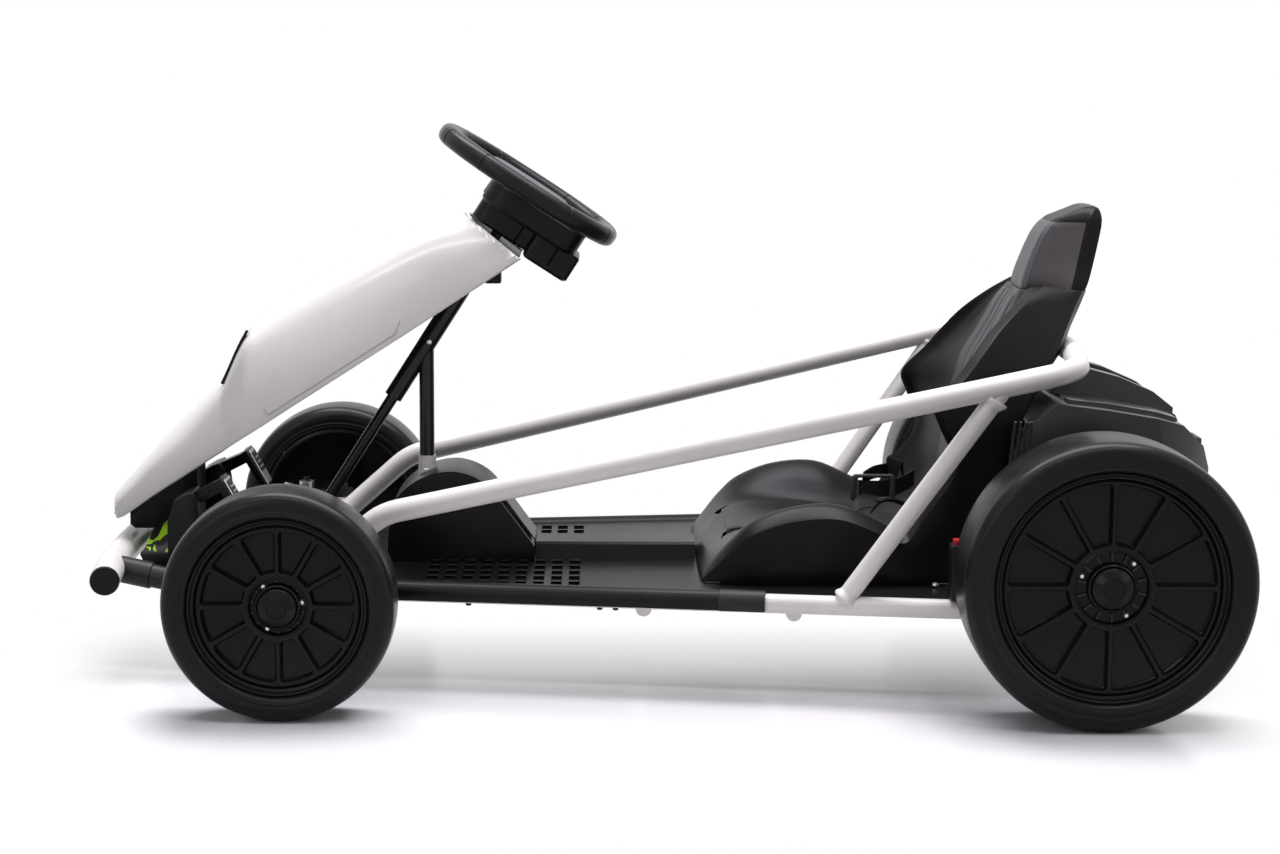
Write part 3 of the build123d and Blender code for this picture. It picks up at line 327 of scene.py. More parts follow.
SLOT_FINISH = {
    "white_frame": FRAME_WHITE, "white_shell": SHELL_WHITE, "black_metal": METAL_BLACK, "steel": STEEL,
    "black_plastic": SATIN_BLACK, "gloss_black": METAL_BLACK, "rubber_grip": GRIP, "tyre": GRIP,
    "battery_case": CASE, "red_plastic": RED,
}
NODE_FINISH = {
    "seat_base": SEAT_BLACK, "seat_back": SEAT_BLACK, "sleeve_front_left": SLEEVE_BLACK,
    "sleeve_front_right": SLEEVE_BLACK, "sleeve_rear_left": SLEEVE_BLACK, "sleeve_rear_right": SLEEVE_BLACK,
}


def dress_cad():
    """Finish every plain solid by its node, or else by its slot."""
    for name, obj in nodes_in_frame.items():
        for place in obj.material_slots:
            key = place.material.name.split(".")[0] if place.material else ""
            place.material = NODE_FINISH.get(name) or SLOT_FINISH.get(key, SATIN_BLACK)


# Mesh helpers.
WELD_GAP = 0.00002


def new_mesh(name, shape):
    """A mesh from a shape: its points in millimetres and its faces."""
    verts, faces = shape
    mesh = bpy.data.meshes.new(name)
    mesh.from_pydata([tuple(c * MM for c in v) for v in verts], [], faces)
    return mesh


def placed(name, data):
    obj = bpy.data.objects.new(name, data)
    bpy.context.scene.collection.objects.link(obj)
    return obj


def rework(mesh, change):
    work = bmesh.new()
    work.from_mesh(mesh)
    change(work)
    work.to_mesh(mesh)
    work.free()


def as_changed(obj):
    """A new mesh: the object as its modifiers leave it."""
    bpy.context.view_layer.update()
    return bpy.data.meshes.new_from_object(obj.evaluated_get(bpy.context.evaluated_depsgraph_get()))


def smooth_with_edges(mesh, angle):
    mesh.shade_smooth()
    mesh.set_sharp_from_angle(angle=math.radians(angle))


def round_edges(work, angle, width, segments):
    """Round every edge that turns by more than the angle."""
    edges = [e for e in work.edges if len(e.link_faces) == 2 and e.calc_face_angle(0.0) > math.radians(angle)]
    bmesh.ops.bevel(work, geom=edges, offset=width * MM, offset_type="OFFSET", segments=segments, profile=0.5,
                    affect="EDGES", clamp_overlap=True)


def piece(name, shape, finish, body="chassis", replaces=(), sharp=30.0, indices=(),
          rounding=None):
    """A finished piece, smooth shaded with edges kept sharp; rounding is an angle, a width and segments."""
    mesh = new_mesh(name, shape)
    obj = placed(name, mesh)
    for made in finish if isinstance(finish, list) else [finish]:
        mesh.materials.append(made)
    for poly, index in zip(mesh.polygons, indices):
        poly.material_index = index

    def mend(work):
        bmesh.ops.remove_doubles(work, verts=work.verts, dist=WELD_GAP)
        bmesh.ops.recalc_face_normals(work, faces=work.faces)
        if rounding:
            round_edges(work, *rounding)

    rework(mesh, mend)
    smooth_with_edges(mesh, sharp)
    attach(obj, body)
    if replaces:
        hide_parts(*replaces)
    return obj


def softened(source_name, name, finish, width, reshape=tuple, segments=2):
    """A copy of a plain solid with its edges rounded, as the moulding really is."""
    source = nodes_in_frame[source_name]
    verts = [tuple(reshape(source.matrix_world @ v.co / MM)) for v in source.data.vertices]
    mesh = new_mesh(name, (verts, [list(poly.vertices) for poly in source.data.polygons]))

    def soften(work):
        bmesh.ops.remove_doubles(work, verts=work.verts, dist=WELD_GAP)
        bmesh.ops.dissolve_limit(work, angle_limit=math.radians(2.0), verts=work.verts, edges=work.edges)
        round_edges(work, 24.0, width, segments)

    rework(mesh, soften)
    smooth_with_edges(mesh, 40.0)
    obj = placed(name, mesh)
    mesh.materials.append(finish)
    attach(obj, body_of_node[source_name])
    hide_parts(source_name)


# Shapes: each is a list of points in millimetres and a list of faces.
def polar(radius, angle):
    return radius * math.cos(angle), radius * math.sin(angle)


def swing(centre, radius, start, end, steps):
    """Points on an arc, with its angles in radians."""
    turned = [polar(radius, start + (end - start) * i / steps) for i in range(steps + 1)]
    return [(centre[0] + a, centre[1] + b) for a, b in turned]


def arc(centre, radius, start, end, steps):
    """Points on an arc, with its angles in degrees."""
    return swing(centre, radius, math.radians(start), math.radians(end), steps)


def full_turn(steps):
    return [2 * math.pi * i / steps for i in range(steps)]


def run_through(points, steps, corners=()):
    """A smooth run through the points; at a corner index the run may kink."""
    found = []
    last = len(points) - 1
    for i in range(last):
        a, b = Vector(points[i]), Vector(points[i + 1])
        before = Vector(points[i - 1]) if i > 0 and i not in corners else a * 2 - b
        after = Vector(points[i + 2]) if i + 2 <= last and i + 1 not in corners else b * 2 - a
        for k in range(steps):
            t = k / steps
            found.append(0.5 * (2 * a + (b - before) * t + (2 * before - 5 * a + 4 * b - after) * t * t
                                + (3 * a - before - 3 * b + after) * t ** 3))
    found.append(Vector(points[last]))
    return found


def run_rows(rows, steps, corners=()):
    """More rows between the given ones, by a smooth run down each column."""
    turned = [run_through(column, steps, corners) for column in zip(*rows)]
    return [list(row) for row in zip(*turned)]


def mirrored(half, ring=False):
    """The full row from its left half; in a ring the last point lies on the middle line, like the first."""
    right = [(x, -y, z) for x, y, z in reversed(half[1:-1] if ring else half[1:])]
    return right + list(half)


def flat_list(grid):
    return [tuple(v) for row in grid for v in row]


def grid_faces(rows, columns, closed=False, looped=False):
    """Faces between rows of points; closed joins each row's ends, looped joins the last row to the first."""
    faces = []
    for r in range(rows if looped else rows - 1):
        for c in range(columns if closed else columns - 1):
            q, d = (r + 1) % rows, (c + 1) % columns
            faces.append([r * columns + c, r * columns + d, q * columns + d, q * columns + c])
    return faces


def stacked(rings, looped=False):
    """A closed shape from rings of points: walls and two ends, or a loop without ends."""
    count = len(rings[0])
    verts = flat_list(rings)
    faces = grid_faces(len(rings), count, True, looped)
    if not looped:
        faces += [list(range(count)), list(reversed(range(len(verts) - count, len(verts))))]
    return verts, faces


def prism(outline, y0, y1):
    """A side outline of (x, z) points run across from y0 to y1."""
    return stacked([[(x, y, z) for x, z in outline] for y in (y0, y1)])


def flat_prism(outline, z0, z1):
    """A plan outline of (x, y) points run up from z0 to z1."""
    return stacked([[(x, y, z) for x, y in outline] for z in (z0, z1)])


def box_shape(low, high):
    (x0, y0, z0), (x1, y1, z1) = low, high
    return flat_prism([(x0, y0), (x1, y0), (x1, y1), (x0, y1)], z0, z1)


def join(*shapes):
    verts, faces = [], []
    for points, sides in shapes:
        shift = len(verts)
        verts += points
        faces += [[i + shift for i in side] for side in sides]
    return verts, faces


def ribbon(stations, thick):
    """A flat strap: each station is a middle point, the direction across it and its width."""
    rings = []
    for i, (spot, across, width) in enumerate(stations):
        spot, across = Vector(spot), Vector(across).normalized()
        before = Vector(stations[max(0, i - 1)][0])
        after = Vector(stations[min(len(stations) - 1, i + 1)][0])
        out = (after - before).cross(across).normalized() * thick / 2
        side = across * width / 2
        rings.append([spot + side + out, spot - side + out, spot - side - out, spot + side - out])
    return stacked(rings)


def strap(points, across, width, thick):
    """A strap that runs smoothly through the points."""
    path, turns = run_through(points, 6), run_through(across, 6)
    return ribbon([(a, b, width) for a, b in zip(path, turns)], thick)


def lathe(profile, angles, place):
    """Rings of (radius, along) points turned about the axis; place gives the point of a radius, angle and along."""
    verts, faces, rings = [], [], []
    for radius, along in profile:
        if radius < 1e-6:
            rings.append([len(verts)] * len(angles))
            verts.append(place(0.0, 0.0, along))
        else:
            rings.append(list(range(len(verts), len(verts) + len(angles))))
            verts.extend(place(radius, a, along) for a in angles)
    for first, second in zip(rings, rings[1:]):
        for i in range(len(angles)):
            j = (i + 1) % len(angles)
            corner = [first[i], first[j], second[j], second[i]]
            clean = [c for k, c in enumerate(corner) if c != corner[k - 1]]
            if len(clean) > 2:
                faces.append(clean)
    return verts, faces


def dome(radius, height, sides, hollow=0.0):
    """A small screw head on the XY plane."""
    profile = [(radius, 0.0), (radius, height * 0.45), (radius * 0.86, height * 0.8), (radius * 0.5, height)]
    if hollow:
        profile += [(radius * 0.36, height), (radius * 0.34, height - hollow), (0.0, height - hollow)]
    else:
        profile += [(0.0, height * 1.04)]
    return lathe(profile, full_turn(sides), lambda r, a, v: (*polar(r, a), v))


# Geometry Nodes for what repeats.
def repeat_group(name, kind):
    """Copies of the incoming piece on a grid or round a ring, made real at the end."""
    step = ("Float", 0.02)
    sockets = {
        "grid": [("Columns", "Int", 4, 1, 60), ("Rows", "Int", 3, 1, 60), ("Column Step", *step), ("Row Step", *step)],
        "ring": [("Count", "Int", 12, 3, 200), ("Ring Radius", "Float", 0.03), ("Start", "Float", 0.0)],
    }[kind]
    tree, enter, leave = new_group(
        name, [("Geometry", "Geometry"), *sockets, ("Finish", "Material")], [("Geometry", "Geometry")], -800, 900,
        "GeometryNodeTree")
    given = enter.outputs
    spread = node(tree, "GeometryNodeInstanceOnPoints", 200, 0, {"Instance": given["Geometry"]})
    if kind == "grid":
        points = node(tree, "GeometryNodeMeshGrid", -200, 200)
        for label, count, gap in (("X", "Columns", "Column Step"), ("Y", "Rows", "Row Step")):
            less = math_node(tree, "SUBTRACT", -600, 200, given[count], 1.0)
            length = math_node(tree, "MULTIPLY", -400, 200, less, given[gap])
            fill(tree, points, {"Size " + label: length, "Vertices " + label: given[count]})
        fill(tree, spread, {"Points": points.outputs["Mesh"]})
    else:
        points = node(tree, "GeometryNodeMeshCircle", -200, 200,
                      {"Vertices": given["Count"], "Radius": given["Ring Radius"]})
        index = node(tree, "GeometryNodeInputIndex", -800, -300)
        part = math_node(tree, "DIVIDE", -600, -400, 2 * math.pi, given["Count"])
        turn = math_node(tree, "MULTIPLY", -400, -300, index.outputs[0], part)
        total = math_node(tree, "ADD", -200, -300, turn, given["Start"])
        start = node(tree, "ShaderNodeCombineXYZ", -400, 400, {"Z": given["Start"]})
        facing = node(tree, "ShaderNodeCombineXYZ", 0, -300, {"Z": total})
        whole = node(tree, "GeometryNodeTransform", 20, 200,
                     {"Geometry": points.outputs["Mesh"], "Rotation": start.outputs[0]})
        fill(tree, spread, {"Points": whole.outputs["Geometry"], "Rotation": facing.outputs[0]})
    real = node(tree, "GeometryNodeRealizeInstances", 450, 0, {"Geometry": spread.outputs["Instances"]})
    dressed = node(tree, "GeometryNodeSetMaterial", 670, 0,
                   {"Geometry": real.outputs["Geometry"], "Material": given["Finish"]})
    fill(tree, leave, {"Geometry": dressed.outputs["Geometry"]})
    return tree


PIECES_ON_GRID = repeat_group("pieces_on_grid", "grid")
PIECES_ON_RING = repeat_group("pieces_on_ring", "ring")


def repeated(group, shape, finish, **values):
    """Run the repeat group on one small piece; gives points in millimetres and faces."""
    mesh = new_mesh("one_piece", shape)
    obj = placed("one_piece", mesh)
    added = obj.modifiers.new("repeat", "NODES")
    added.node_group = group
    values["finish"] = finish
    for item in group.interface.items_tree:
        key = item.name.lower().replace(" ", "_")
        if item.item_type == "SOCKET" and item.in_out == "INPUT" and key in values:
            added[item.identifier] = values[key]
    made = as_changed(obj)
    verts = [tuple(c / MM for c in v.co) for v in made.vertices]
    faces = [list(poly.vertices) for poly in made.polygons]
    bpy.data.objects.remove(obj)
    bpy.data.meshes.remove(mesh)
    bpy.data.meshes.remove(made)
    return verts, faces


# Wheels.
WHEELS = [
    # name, axle, tyre radius, tyre width, lip radius, hub ring, cap, pocket inner, pocket outer, reach of the
    # screws and their angles
    ("front", FRONT_AXLE, 128.0, 80.0, 98.5, 32.5, 22.0, 37.5, 84.5, 27.0, (170.0, 56.0, -65.0)),
    ("rear", REAR_AXLE, 160.0, 106.0, 126.8, 41.0, 23.5, 46.0, 114.0, 35.0, (131.0, 21.0, -118.5)),
]
FACE_INSET = 12.0


def wheel_place(centre, side):
    """A wheel's own points: radius and angle round the axle, along it outwards."""
    cx, cy, cz = centre
    return lambda radius, angle, along: (
        cx + radius * math.cos(angle), side * (cy + along), cz + radius * math.sin(angle))


def tyre_profile(radius, width, lip):
    """The closed section, from the outer bead over the tread to the inner bead and back."""
    half, shoulder = width / 2, 14.5
    side = [
        (lip, half - 7.0), (lip + 1.5, half - 3.5), (lip + 4.0, half - 1.2), (lip + 8.0, half - 0.3),
        (radius - 21.5, half - 0.2), (radius - 20.6, half - 1.0), (radius - 19.6, half - 1.0),
        (radius - 18.7, half - 0.3), (radius - 15.5, half - 0.9),
    ]
    side += arc((radius - 15.5, half - 0.9 - shoulder), shoulder, 84, 8, 9)
    side += [(radius - 0.75, half - 19.0), (radius - 0.35, half - 26.0), (radius - 0.1, (half - 20) * 0.45)]
    return side + [(radius, 0.0)] + [(r, -v) for r, v in reversed(side)] + side[:1]


def tyre(size, name, side):
    axle, radius, width, lip = size[1:5]
    rubber = tyre_rubber("tyre_rubber_" + name, (axle[0], axle[1] * side, axle[2]))
    shape = lathe(tyre_profile(radius, width, lip), full_turn(128), wheel_place(axle, side))
    piece("smooth_tyre_" + name, shape, rubber, "wheel_" + name, ("tyre_" + name,), sharp=50)


def rim_face(inner, outer, face, r_in, r_out, place):
    """The face with its pockets between the spokes, and the angles of its points on both borders."""
    count, web, curve, depth = 12, 3.0, 5.0, 9.5
    sector = 2 * math.pi / count
    half = sector / 2

    def outline(inset):
        """Half a pocket's edge, from the hub outwards, as (along the spoke, across it towards the pocket)."""
        w = web / 2 + inset
        r1, r2 = inner + inset, outer - inset
        c1, c2 = max(0.7, curve * 0.75 - inset), max(0.7, curve - inset)
        in_c = (math.sqrt(max(1.0, (r1 + c1) ** 2 - (w + c1) ** 2)), w + c1)
        out_c = (math.sqrt(max(1.0, (r2 - c2) ** 2 - (w + c2) ** 2)), w + c2)
        tilt_in, tilt_out = math.atan2(in_c[1], in_c[0]), math.atan2(out_c[1], out_c[0])
        run = swing((0, 0), r1, half, tilt_in, 4)
        run += swing(in_c, c1, math.pi + tilt_in, 1.5 * math.pi, 5)[1:]
        run += [(in_c[0] + (out_c[0] - in_c[0]) * i / 6.0, w) for i in range(1, 6)]
        run += swing(out_c, c2, -0.5 * math.pi, tilt_out, 6)
        run += swing((0, 0), r2, tilt_out, half, 4)[1:]
        return run, tilt_in, tilt_out

    # One border point for each point of the pocket's edge: on the hub's circle, then along the spoke's
    # middle, then on the outer circle.
    top, tilt_in, tilt_out = outline(0.0)
    edge = []
    for i, (a, b) in enumerate(top):
        if i < 5:
            edge.append(polar(r_in, math.atan2(b, a)))
        elif i < 8:
            edge.append(polar(r_in, tilt_in * (7 - i) / 3.0))
        elif i < 10:
            edge.append((r_in + (a - r_in) * (i - 7) / 4.0, 0.0))
        elif i < 16:
            edge.append((a, 0.0))
        elif i < 19:
            edge.append((a + (r_out - a) * (i - 15) / 4.0, 0.0))
        elif i < 22:
            edge.append(polar(r_out, tilt_out * (i - 18) / 3.0))
        else:
            edge.append(polar(r_out, math.atan2(b, a)))

    # How far the pocket's edge is drawn in, and how high it lies there.
    levels = [(0.0, face), (0.35, face - 0.2), (0.7, face - 1.0), (1.5, face - depth + 1.6), (2.9, face - depth)]
    loops = [[(a, b, face) for a, b in edge]]
    loops += [[(a, b, height) for a, b in outline(inset)[0]] for inset, height in levels]
    spokes = [(k * sector + half + sign * half, sign) for k in range(count) for sign in (1, -1)]
    verts, faces, floors = [], [], []
    for base, sign in spokes:
        shift = len(verts)
        for loop in loops:
            verts += [place(math.hypot(a, b), base - sign * math.atan2(b, a), h) for a, b, h in loop]
        faces += [[i + shift for i in f] for f in grid_faces(len(loops), len(edge))]
        floors.append(range(len(verts) - len(edge), len(verts)))
    for right, left in zip(floors[::2], floors[1::2]):
        faces += [[right[i], right[i + 1], left[i + 1], left[i]] for i in range(len(edge) - 1)]

    def border(reach):
        """The angles of the points at one radius, each once and in order."""
        found = []
        for t in sorted((base - sign * math.atan2(b, a)) % (2 * math.pi) for base, sign in spokes
                        for a, b in edge if abs(math.hypot(a, b) - reach) < 1e-6):
            if not found or t - found[-1] > 1e-5:
                found.append(t)
        if 2 * math.pi - found[-1] + found[0] < 1e-5:
            found.pop()
        return found

    return (verts, faces), border(r_in), border(r_out)


def rim(size, name, side):
    axle, radius, width, lip, hub, cap, inner, outer = size[1:9]
    half = width / 2
    face, rise = half - FACE_INSET, half - 1.0
    place = wheel_place(axle, side)
    r_in, r_out = hub + 2.0, outer + 1.4
    body, ring_in, ring_out = rim_face(inner, outer, face, r_in, r_out, place)
    hub_run = [
        (r_in, face), (hub + 0.8, face + 0.1), (hub, face + 1.0), (hub - 1.0, face + 1.0), (hub - 1.8, face - 5.5),
        (hub - 2.6, face - 6.5), (cap + 4.0, face - 6.5), (cap + 3.2, face - 5.6), (cap + 2.6, face + 1.4),
        (cap + 1.6, face + 2.2), (cap + 0.6, face + 2.0), (cap - 0.2, face + 0.6), (cap - 0.4, rise - 7.4),
        (cap - 1.0, rise - 6.0), (cap - 2.2, rise - 5.0), (cap * 0.60, rise - 0.9), (cap * 0.55, rise - 0.2),
        (cap * 0.50, rise - 0.2), (cap * 0.47, rise - 1.2), (cap * 0.30, rise - 1.5), (0.0, rise - 1.5),
    ]
    lip_run = [
        (r_out, face), (lip - 10.6, face - 0.3), (lip - 10.0, face - 2.8), (lip - 9.0, face - 3.2),
        (lip - 8.2, face - 2.4), (lip - 7.6, face + 0.9), (lip - 6.9, face + 1.7), (lip - 5.2, face + 2.3),
        (lip - 4.5, face + 1.7), (lip - 3.8, face + 1.9), (lip - 3.0, face + 4.8), (lip - 1.6, face + 5.9),
        (lip - 0.35, face + 5.2), (lip - 0.35, -half + 6.0),
        (lip - 3.0, -half + 5.0), (lip - 5.0, -half + 6.5), (lip - 6.5, -half + 12.0), (lip - 9.0, face - 22.0),
        (lip - 12.0, face - 13.5), (r_in + 6.0, face - 12.5), (18.0, face - 12.5), (17.0, face - 38.0),
        (9.6, face - 38.0), (9.6, face - 20.0), (0.0, face - 20.0),
    ]
    shape = join(body, lathe(hub_run, ring_in, place), lathe(lip_run, ring_out, place))
    gloss = wheel_gloss("wheel_gloss_" + name, (axle[0], axle[1] * side, axle[2]))
    piece("spoked_rim_" + name, shape, gloss, "wheel_" + name, ("rim_" + name,), sharp=32)


def hub_details(size, name, side):
    """Short ribs round the hub, and three screws on their bosses."""
    axle, radius, width, lip, hub, cap, inner, outer, reach, angles = size[1:]
    face = width / 2 - FACE_INSET
    place = wheel_place(axle, side)

    def on_wheel(x, y, along):
        return place(math.hypot(x, y), math.atan2(y, x), along)

    rib_low, rib_high = cap + 5.0, hub - 3.0
    long = (rib_high - rib_low) / 2
    verts, faces = repeated(PIECES_ON_RING, box_shape((-long, -1.1, -3.0), (long, 1.1, 0.0)), METAL_BLACK, count=14,
                            ring_radius=(rib_low + rib_high) / 2 * MM, start=0.2)
    piece("hub_ribs_" + name, ([on_wheel(x, y, face - 3.4 + z) for x, y, z in verts], faces), METAL_BLACK,
          "wheel_" + name)
    screw = ((dome(5.0, 3.0, 16), face - 7.0), (dome(2.3, 1.8, 12, 0.8), face - 4.0))
    shapes, indices = [], []
    for angle in angles:
        cx, cy = polar(reach, math.radians(angle))
        for number, (shape, low) in enumerate(screw):
            shapes.append(([on_wheel(cx + x, cy + y, low + z) for x, y, z in shape[0]], shape[1]))
            indices += [number] * len(shape[1])
    piece("hub_screws_" + name, join(*shapes), [METAL_BLACK, STEEL], "wheel_" + name, indices=indices)


# Nose shell.
NOSE = [
    # station x, lower edge z, half width, crease z, half width, crown z
    (660.2, 170.5, 39.0, 181.5, 37.0, 186.0), (657.5, 167.0, 44.0, 187.0, 41.0, 194.0),
    (646.0, 171.5, 53.0, 198.0, 48.0, 207.0),
    (630.0, 181.5, 60.0, 213.0, 53.0, 225.0), (600.0, 201.0, 70.0, 242.0, 60.0, 258.0),
    (560.0, 227.0, 79.0, 278.0, 66.0, 299.0), (527.0, 249.0, 84.0, 310.0, 69.0, 330.0),
    (519.0, 254.0, 85.0, 318.0, 70.0, 338.0), (512.0, 259.0, 86.0, 330.0, 71.0, 352.0),
    (500.0, 267.0, 88.0, 352.0, 71.0, 378.0), (489.0, 274.0, 89.0, 370.0, 71.0, 398.0),
    (470.0, 286.0, 90.0, 384.0, 71.0, 415.0), (433.5, 310.0, 91.0, 406.0, 71.0, 440.0),
    (360.5, 357.0, 91.0, 450.0, 70.0, 482.0), (287.5, 404.0, 88.0, 490.0, 66.0, 518.0),
    (240.0, 435.0, 84.0, 509.0, 61.0, 532.0), (200.0, 461.0, 79.0, 519.0, 56.0, 538.0),
    (140.0, 500.0, 72.0, 530.0, 50.0, 544.0),
]
NOSE_WALL = 3.4
SCOOP_HALF = 54.0
SCOOP_FROM, SCOOP_TO = 489.5, 519.0
NOSE_CUT_SPOT = Vector((226.0, 0, 532.5))
NOSE_CUT_WAY = Vector((98.5, 0, -126.0)).normalized()


def nose_row(x, low, wide, crease, narrow, crown):
    """One station of the nose: the roof is flatter at the scoop, and the tip bends back at its sides."""
    lift, drop, spread = crown - crease, crease - low, wide - narrow
    flat = max(0.0, 1.0 - abs(x - 503.0) / 40.0)
    bend = 6.5 * max(0.0, (x - 600.0) / 61.5)
    half = [
        (0, crown), (narrow * 0.42, crown - lift * (0.13 - 0.11 * flat)),
        (narrow * 0.80, crown - lift * (0.50 - 0.38 * flat)), (narrow + 1.5, crease - lift * (0.05 - 0.4 * flat)),
        (narrow + spread * 0.42 + 3.0, crease - drop * 0.3), (narrow + spread * 0.8 + 2.2, low + drop * 0.3),
        (wide, low + 3.0), (wide - 1.6, low),
    ]
    return mirrored([(x - bend * (y / wide) ** 2, y, z) for y, z in half])


def nose_net():
    wide = [run_through(nose_row(*station), 5) for station in NOSE]
    return run_rows(wide, 6, corners=(0, 2))


def side_spot(grid, x, part):
    """A point just off the nose's left side: part 0 at the lower edge, 1 at the crease."""
    for a, b in zip(grid, grid[1:]):
        if b[0].x <= x <= a[0].x:
            t = (a[0].x - x) / max(1e-6, a[0].x - b[0].x)
            row = [p.lerp(q, t) for p, q in zip(a, b)]
            break
    lower, upper = len(row) - 6, len(row) - 21  # the places in the row of the lower edge and the crease
    place = lower + (upper - lower) * part
    k = int(place)
    spot = row[k].lerp(row[k + 1], place - k) if place > k else row[k]
    return Vector((spot.x, spot.y + 0.1, spot.z))


def nose_shell(grid):
    """The white shell, open at the scoop, cut off at its rear end and given its wall."""
    columns = len(grid[0])
    verts = flat_list(grid)
    faces = []
    for face in grid_faces(len(grid), columns):
        middle = sum((Vector(verts[i]) for i in face), Vector()) / 4
        if not (SCOOP_FROM < middle.x < SCOOP_TO and abs(middle.y) < SCOOP_HALF):
            faces.append(face)
    base = len(verts)
    verts += [(v.x + 1.6, v.y * 0.97, v.z + 0.4) for v in grid[0]]
    faces.append(list(range(base, base + columns)))
    faces += [[c, c + 1, base + c + 1, base + c] for c in range(columns - 1)]
    obj = piece("nose_shell", (verts, faces), SHELL_WHITE, replaces=("nose_panel",), sharp=38)
    rework(obj.data, lambda work: bmesh.ops.bisect_plane(
        work, geom=work.verts[:] + work.edges[:] + work.faces[:], plane_co=NOSE_CUT_SPOT * MM,
        plane_no=-NOSE_CUT_WAY, clear_outer=True))
    wall = obj.modifiers.new("wall", "SOLIDIFY")
    wall.thickness = NOSE_WALL * MM
    wall.offset = -1.0
    wall.use_even_offset = True
    thick = as_changed(obj)
    obj.modifiers.clear()
    obj.data = thick


def nose_end(grid):
    """Dark plate that closes the nose's rear end round the steering column, and the tab under it."""
    behind, thick = 3.5, 2.0
    start = NOSE_CUT_SPOT + NOSE_CUT_WAY * behind
    outline = []
    for line in zip(*grid):
        for a, b in zip(line, line[1:]):
            da, db = (a - start).dot(NOSE_CUT_WAY), (b - start).dot(NOSE_CUT_WAY)
            if da > 0 >= db:
                spot = a.lerp(b, da / (da - db))
                outline.append(Vector((spot.x, spot.y * 0.955, spot.z + 0.5)))
                break
    piece("nose_end_plate", stacked([outline, [v + NOSE_CUT_WAY * thick for v in outline]]), SATIN_BLACK)
    piece("nose_tab", box_shape((190.0, -8.0, 450.0), (209.0, 16.0, 468.0)), SATIN_BLACK, rounding=(30.0, 1.5, 2))


PRESSED_LINES = [
    # part up the side and station x where each line starts and ends, and the direction across it
    (0.10, 0.10, 462.0, 312.0, (0.3, 0, 0.9)), (0.10, 0.24, 462.0, 467.0, (1, 0, 0.2)),
    (0.10, 0.26, 312.0, 306.0, (1, 0, 0.2)),
]


def nose_trim(grid):
    """The dark scoop mouth with its standing rim, and the pressed line low on each side as a strip of darker white:
    painted shade in the groove.
    """
    rows = []
    for x, z in ((519.5, 333.0), (513.0, 345.0), (500.5, 373.0), (490.0, 393.0), (487.0, 399.0)):
        rim_y, floor_y = SCOOP_HALF + 1.5, SCOOP_HALF - 6
        rows.append([(x - 4.0, -rim_y, z - 3.0)] + [(x - 9.0, y, z - 7.0) for y in (-floor_y, -20, 20, floor_y)]
                    + [(x - 4.0, rim_y, z - 3.0)])
    piece("scoop_mouth", (flat_list(rows), grid_faces(len(rows), 6)), SATIN_BLACK, replaces=("scoop_panel",))
    for hand, side in HANDS:
        lip = [(520.5, side * 56.0, 333.0), (513.0, side * 56.4, 348.5), (500.5, side * 56.6, 376.0),
               (489.5, side * 56.0, 396.5)]
        piece("scoop_rim_" + hand, ribbon([(v, (0, 1, 0), 6.0) for v in run_through(lip, 5)], 3.2), SATIN_BLACK)
        marks = []
        for part_from, part_to, x_from, x_to, across in PRESSED_LINES:
            stations = []
            for i in range(15):
                t = i / 14.0
                spot = side_spot(grid, x_from + (x_to - x_from) * t, part_from + (part_to - part_from) * t)
                stations.append(((spot.x, spot.y * side, spot.z), across, 1.5))
            marks.append(ribbon(stations, 0.7))
        # The strips' darker white is painted shade for the pressed groove.
        piece("pressed_line_" + hand, join(*marks), GROOVE_SHADE_WHITE)


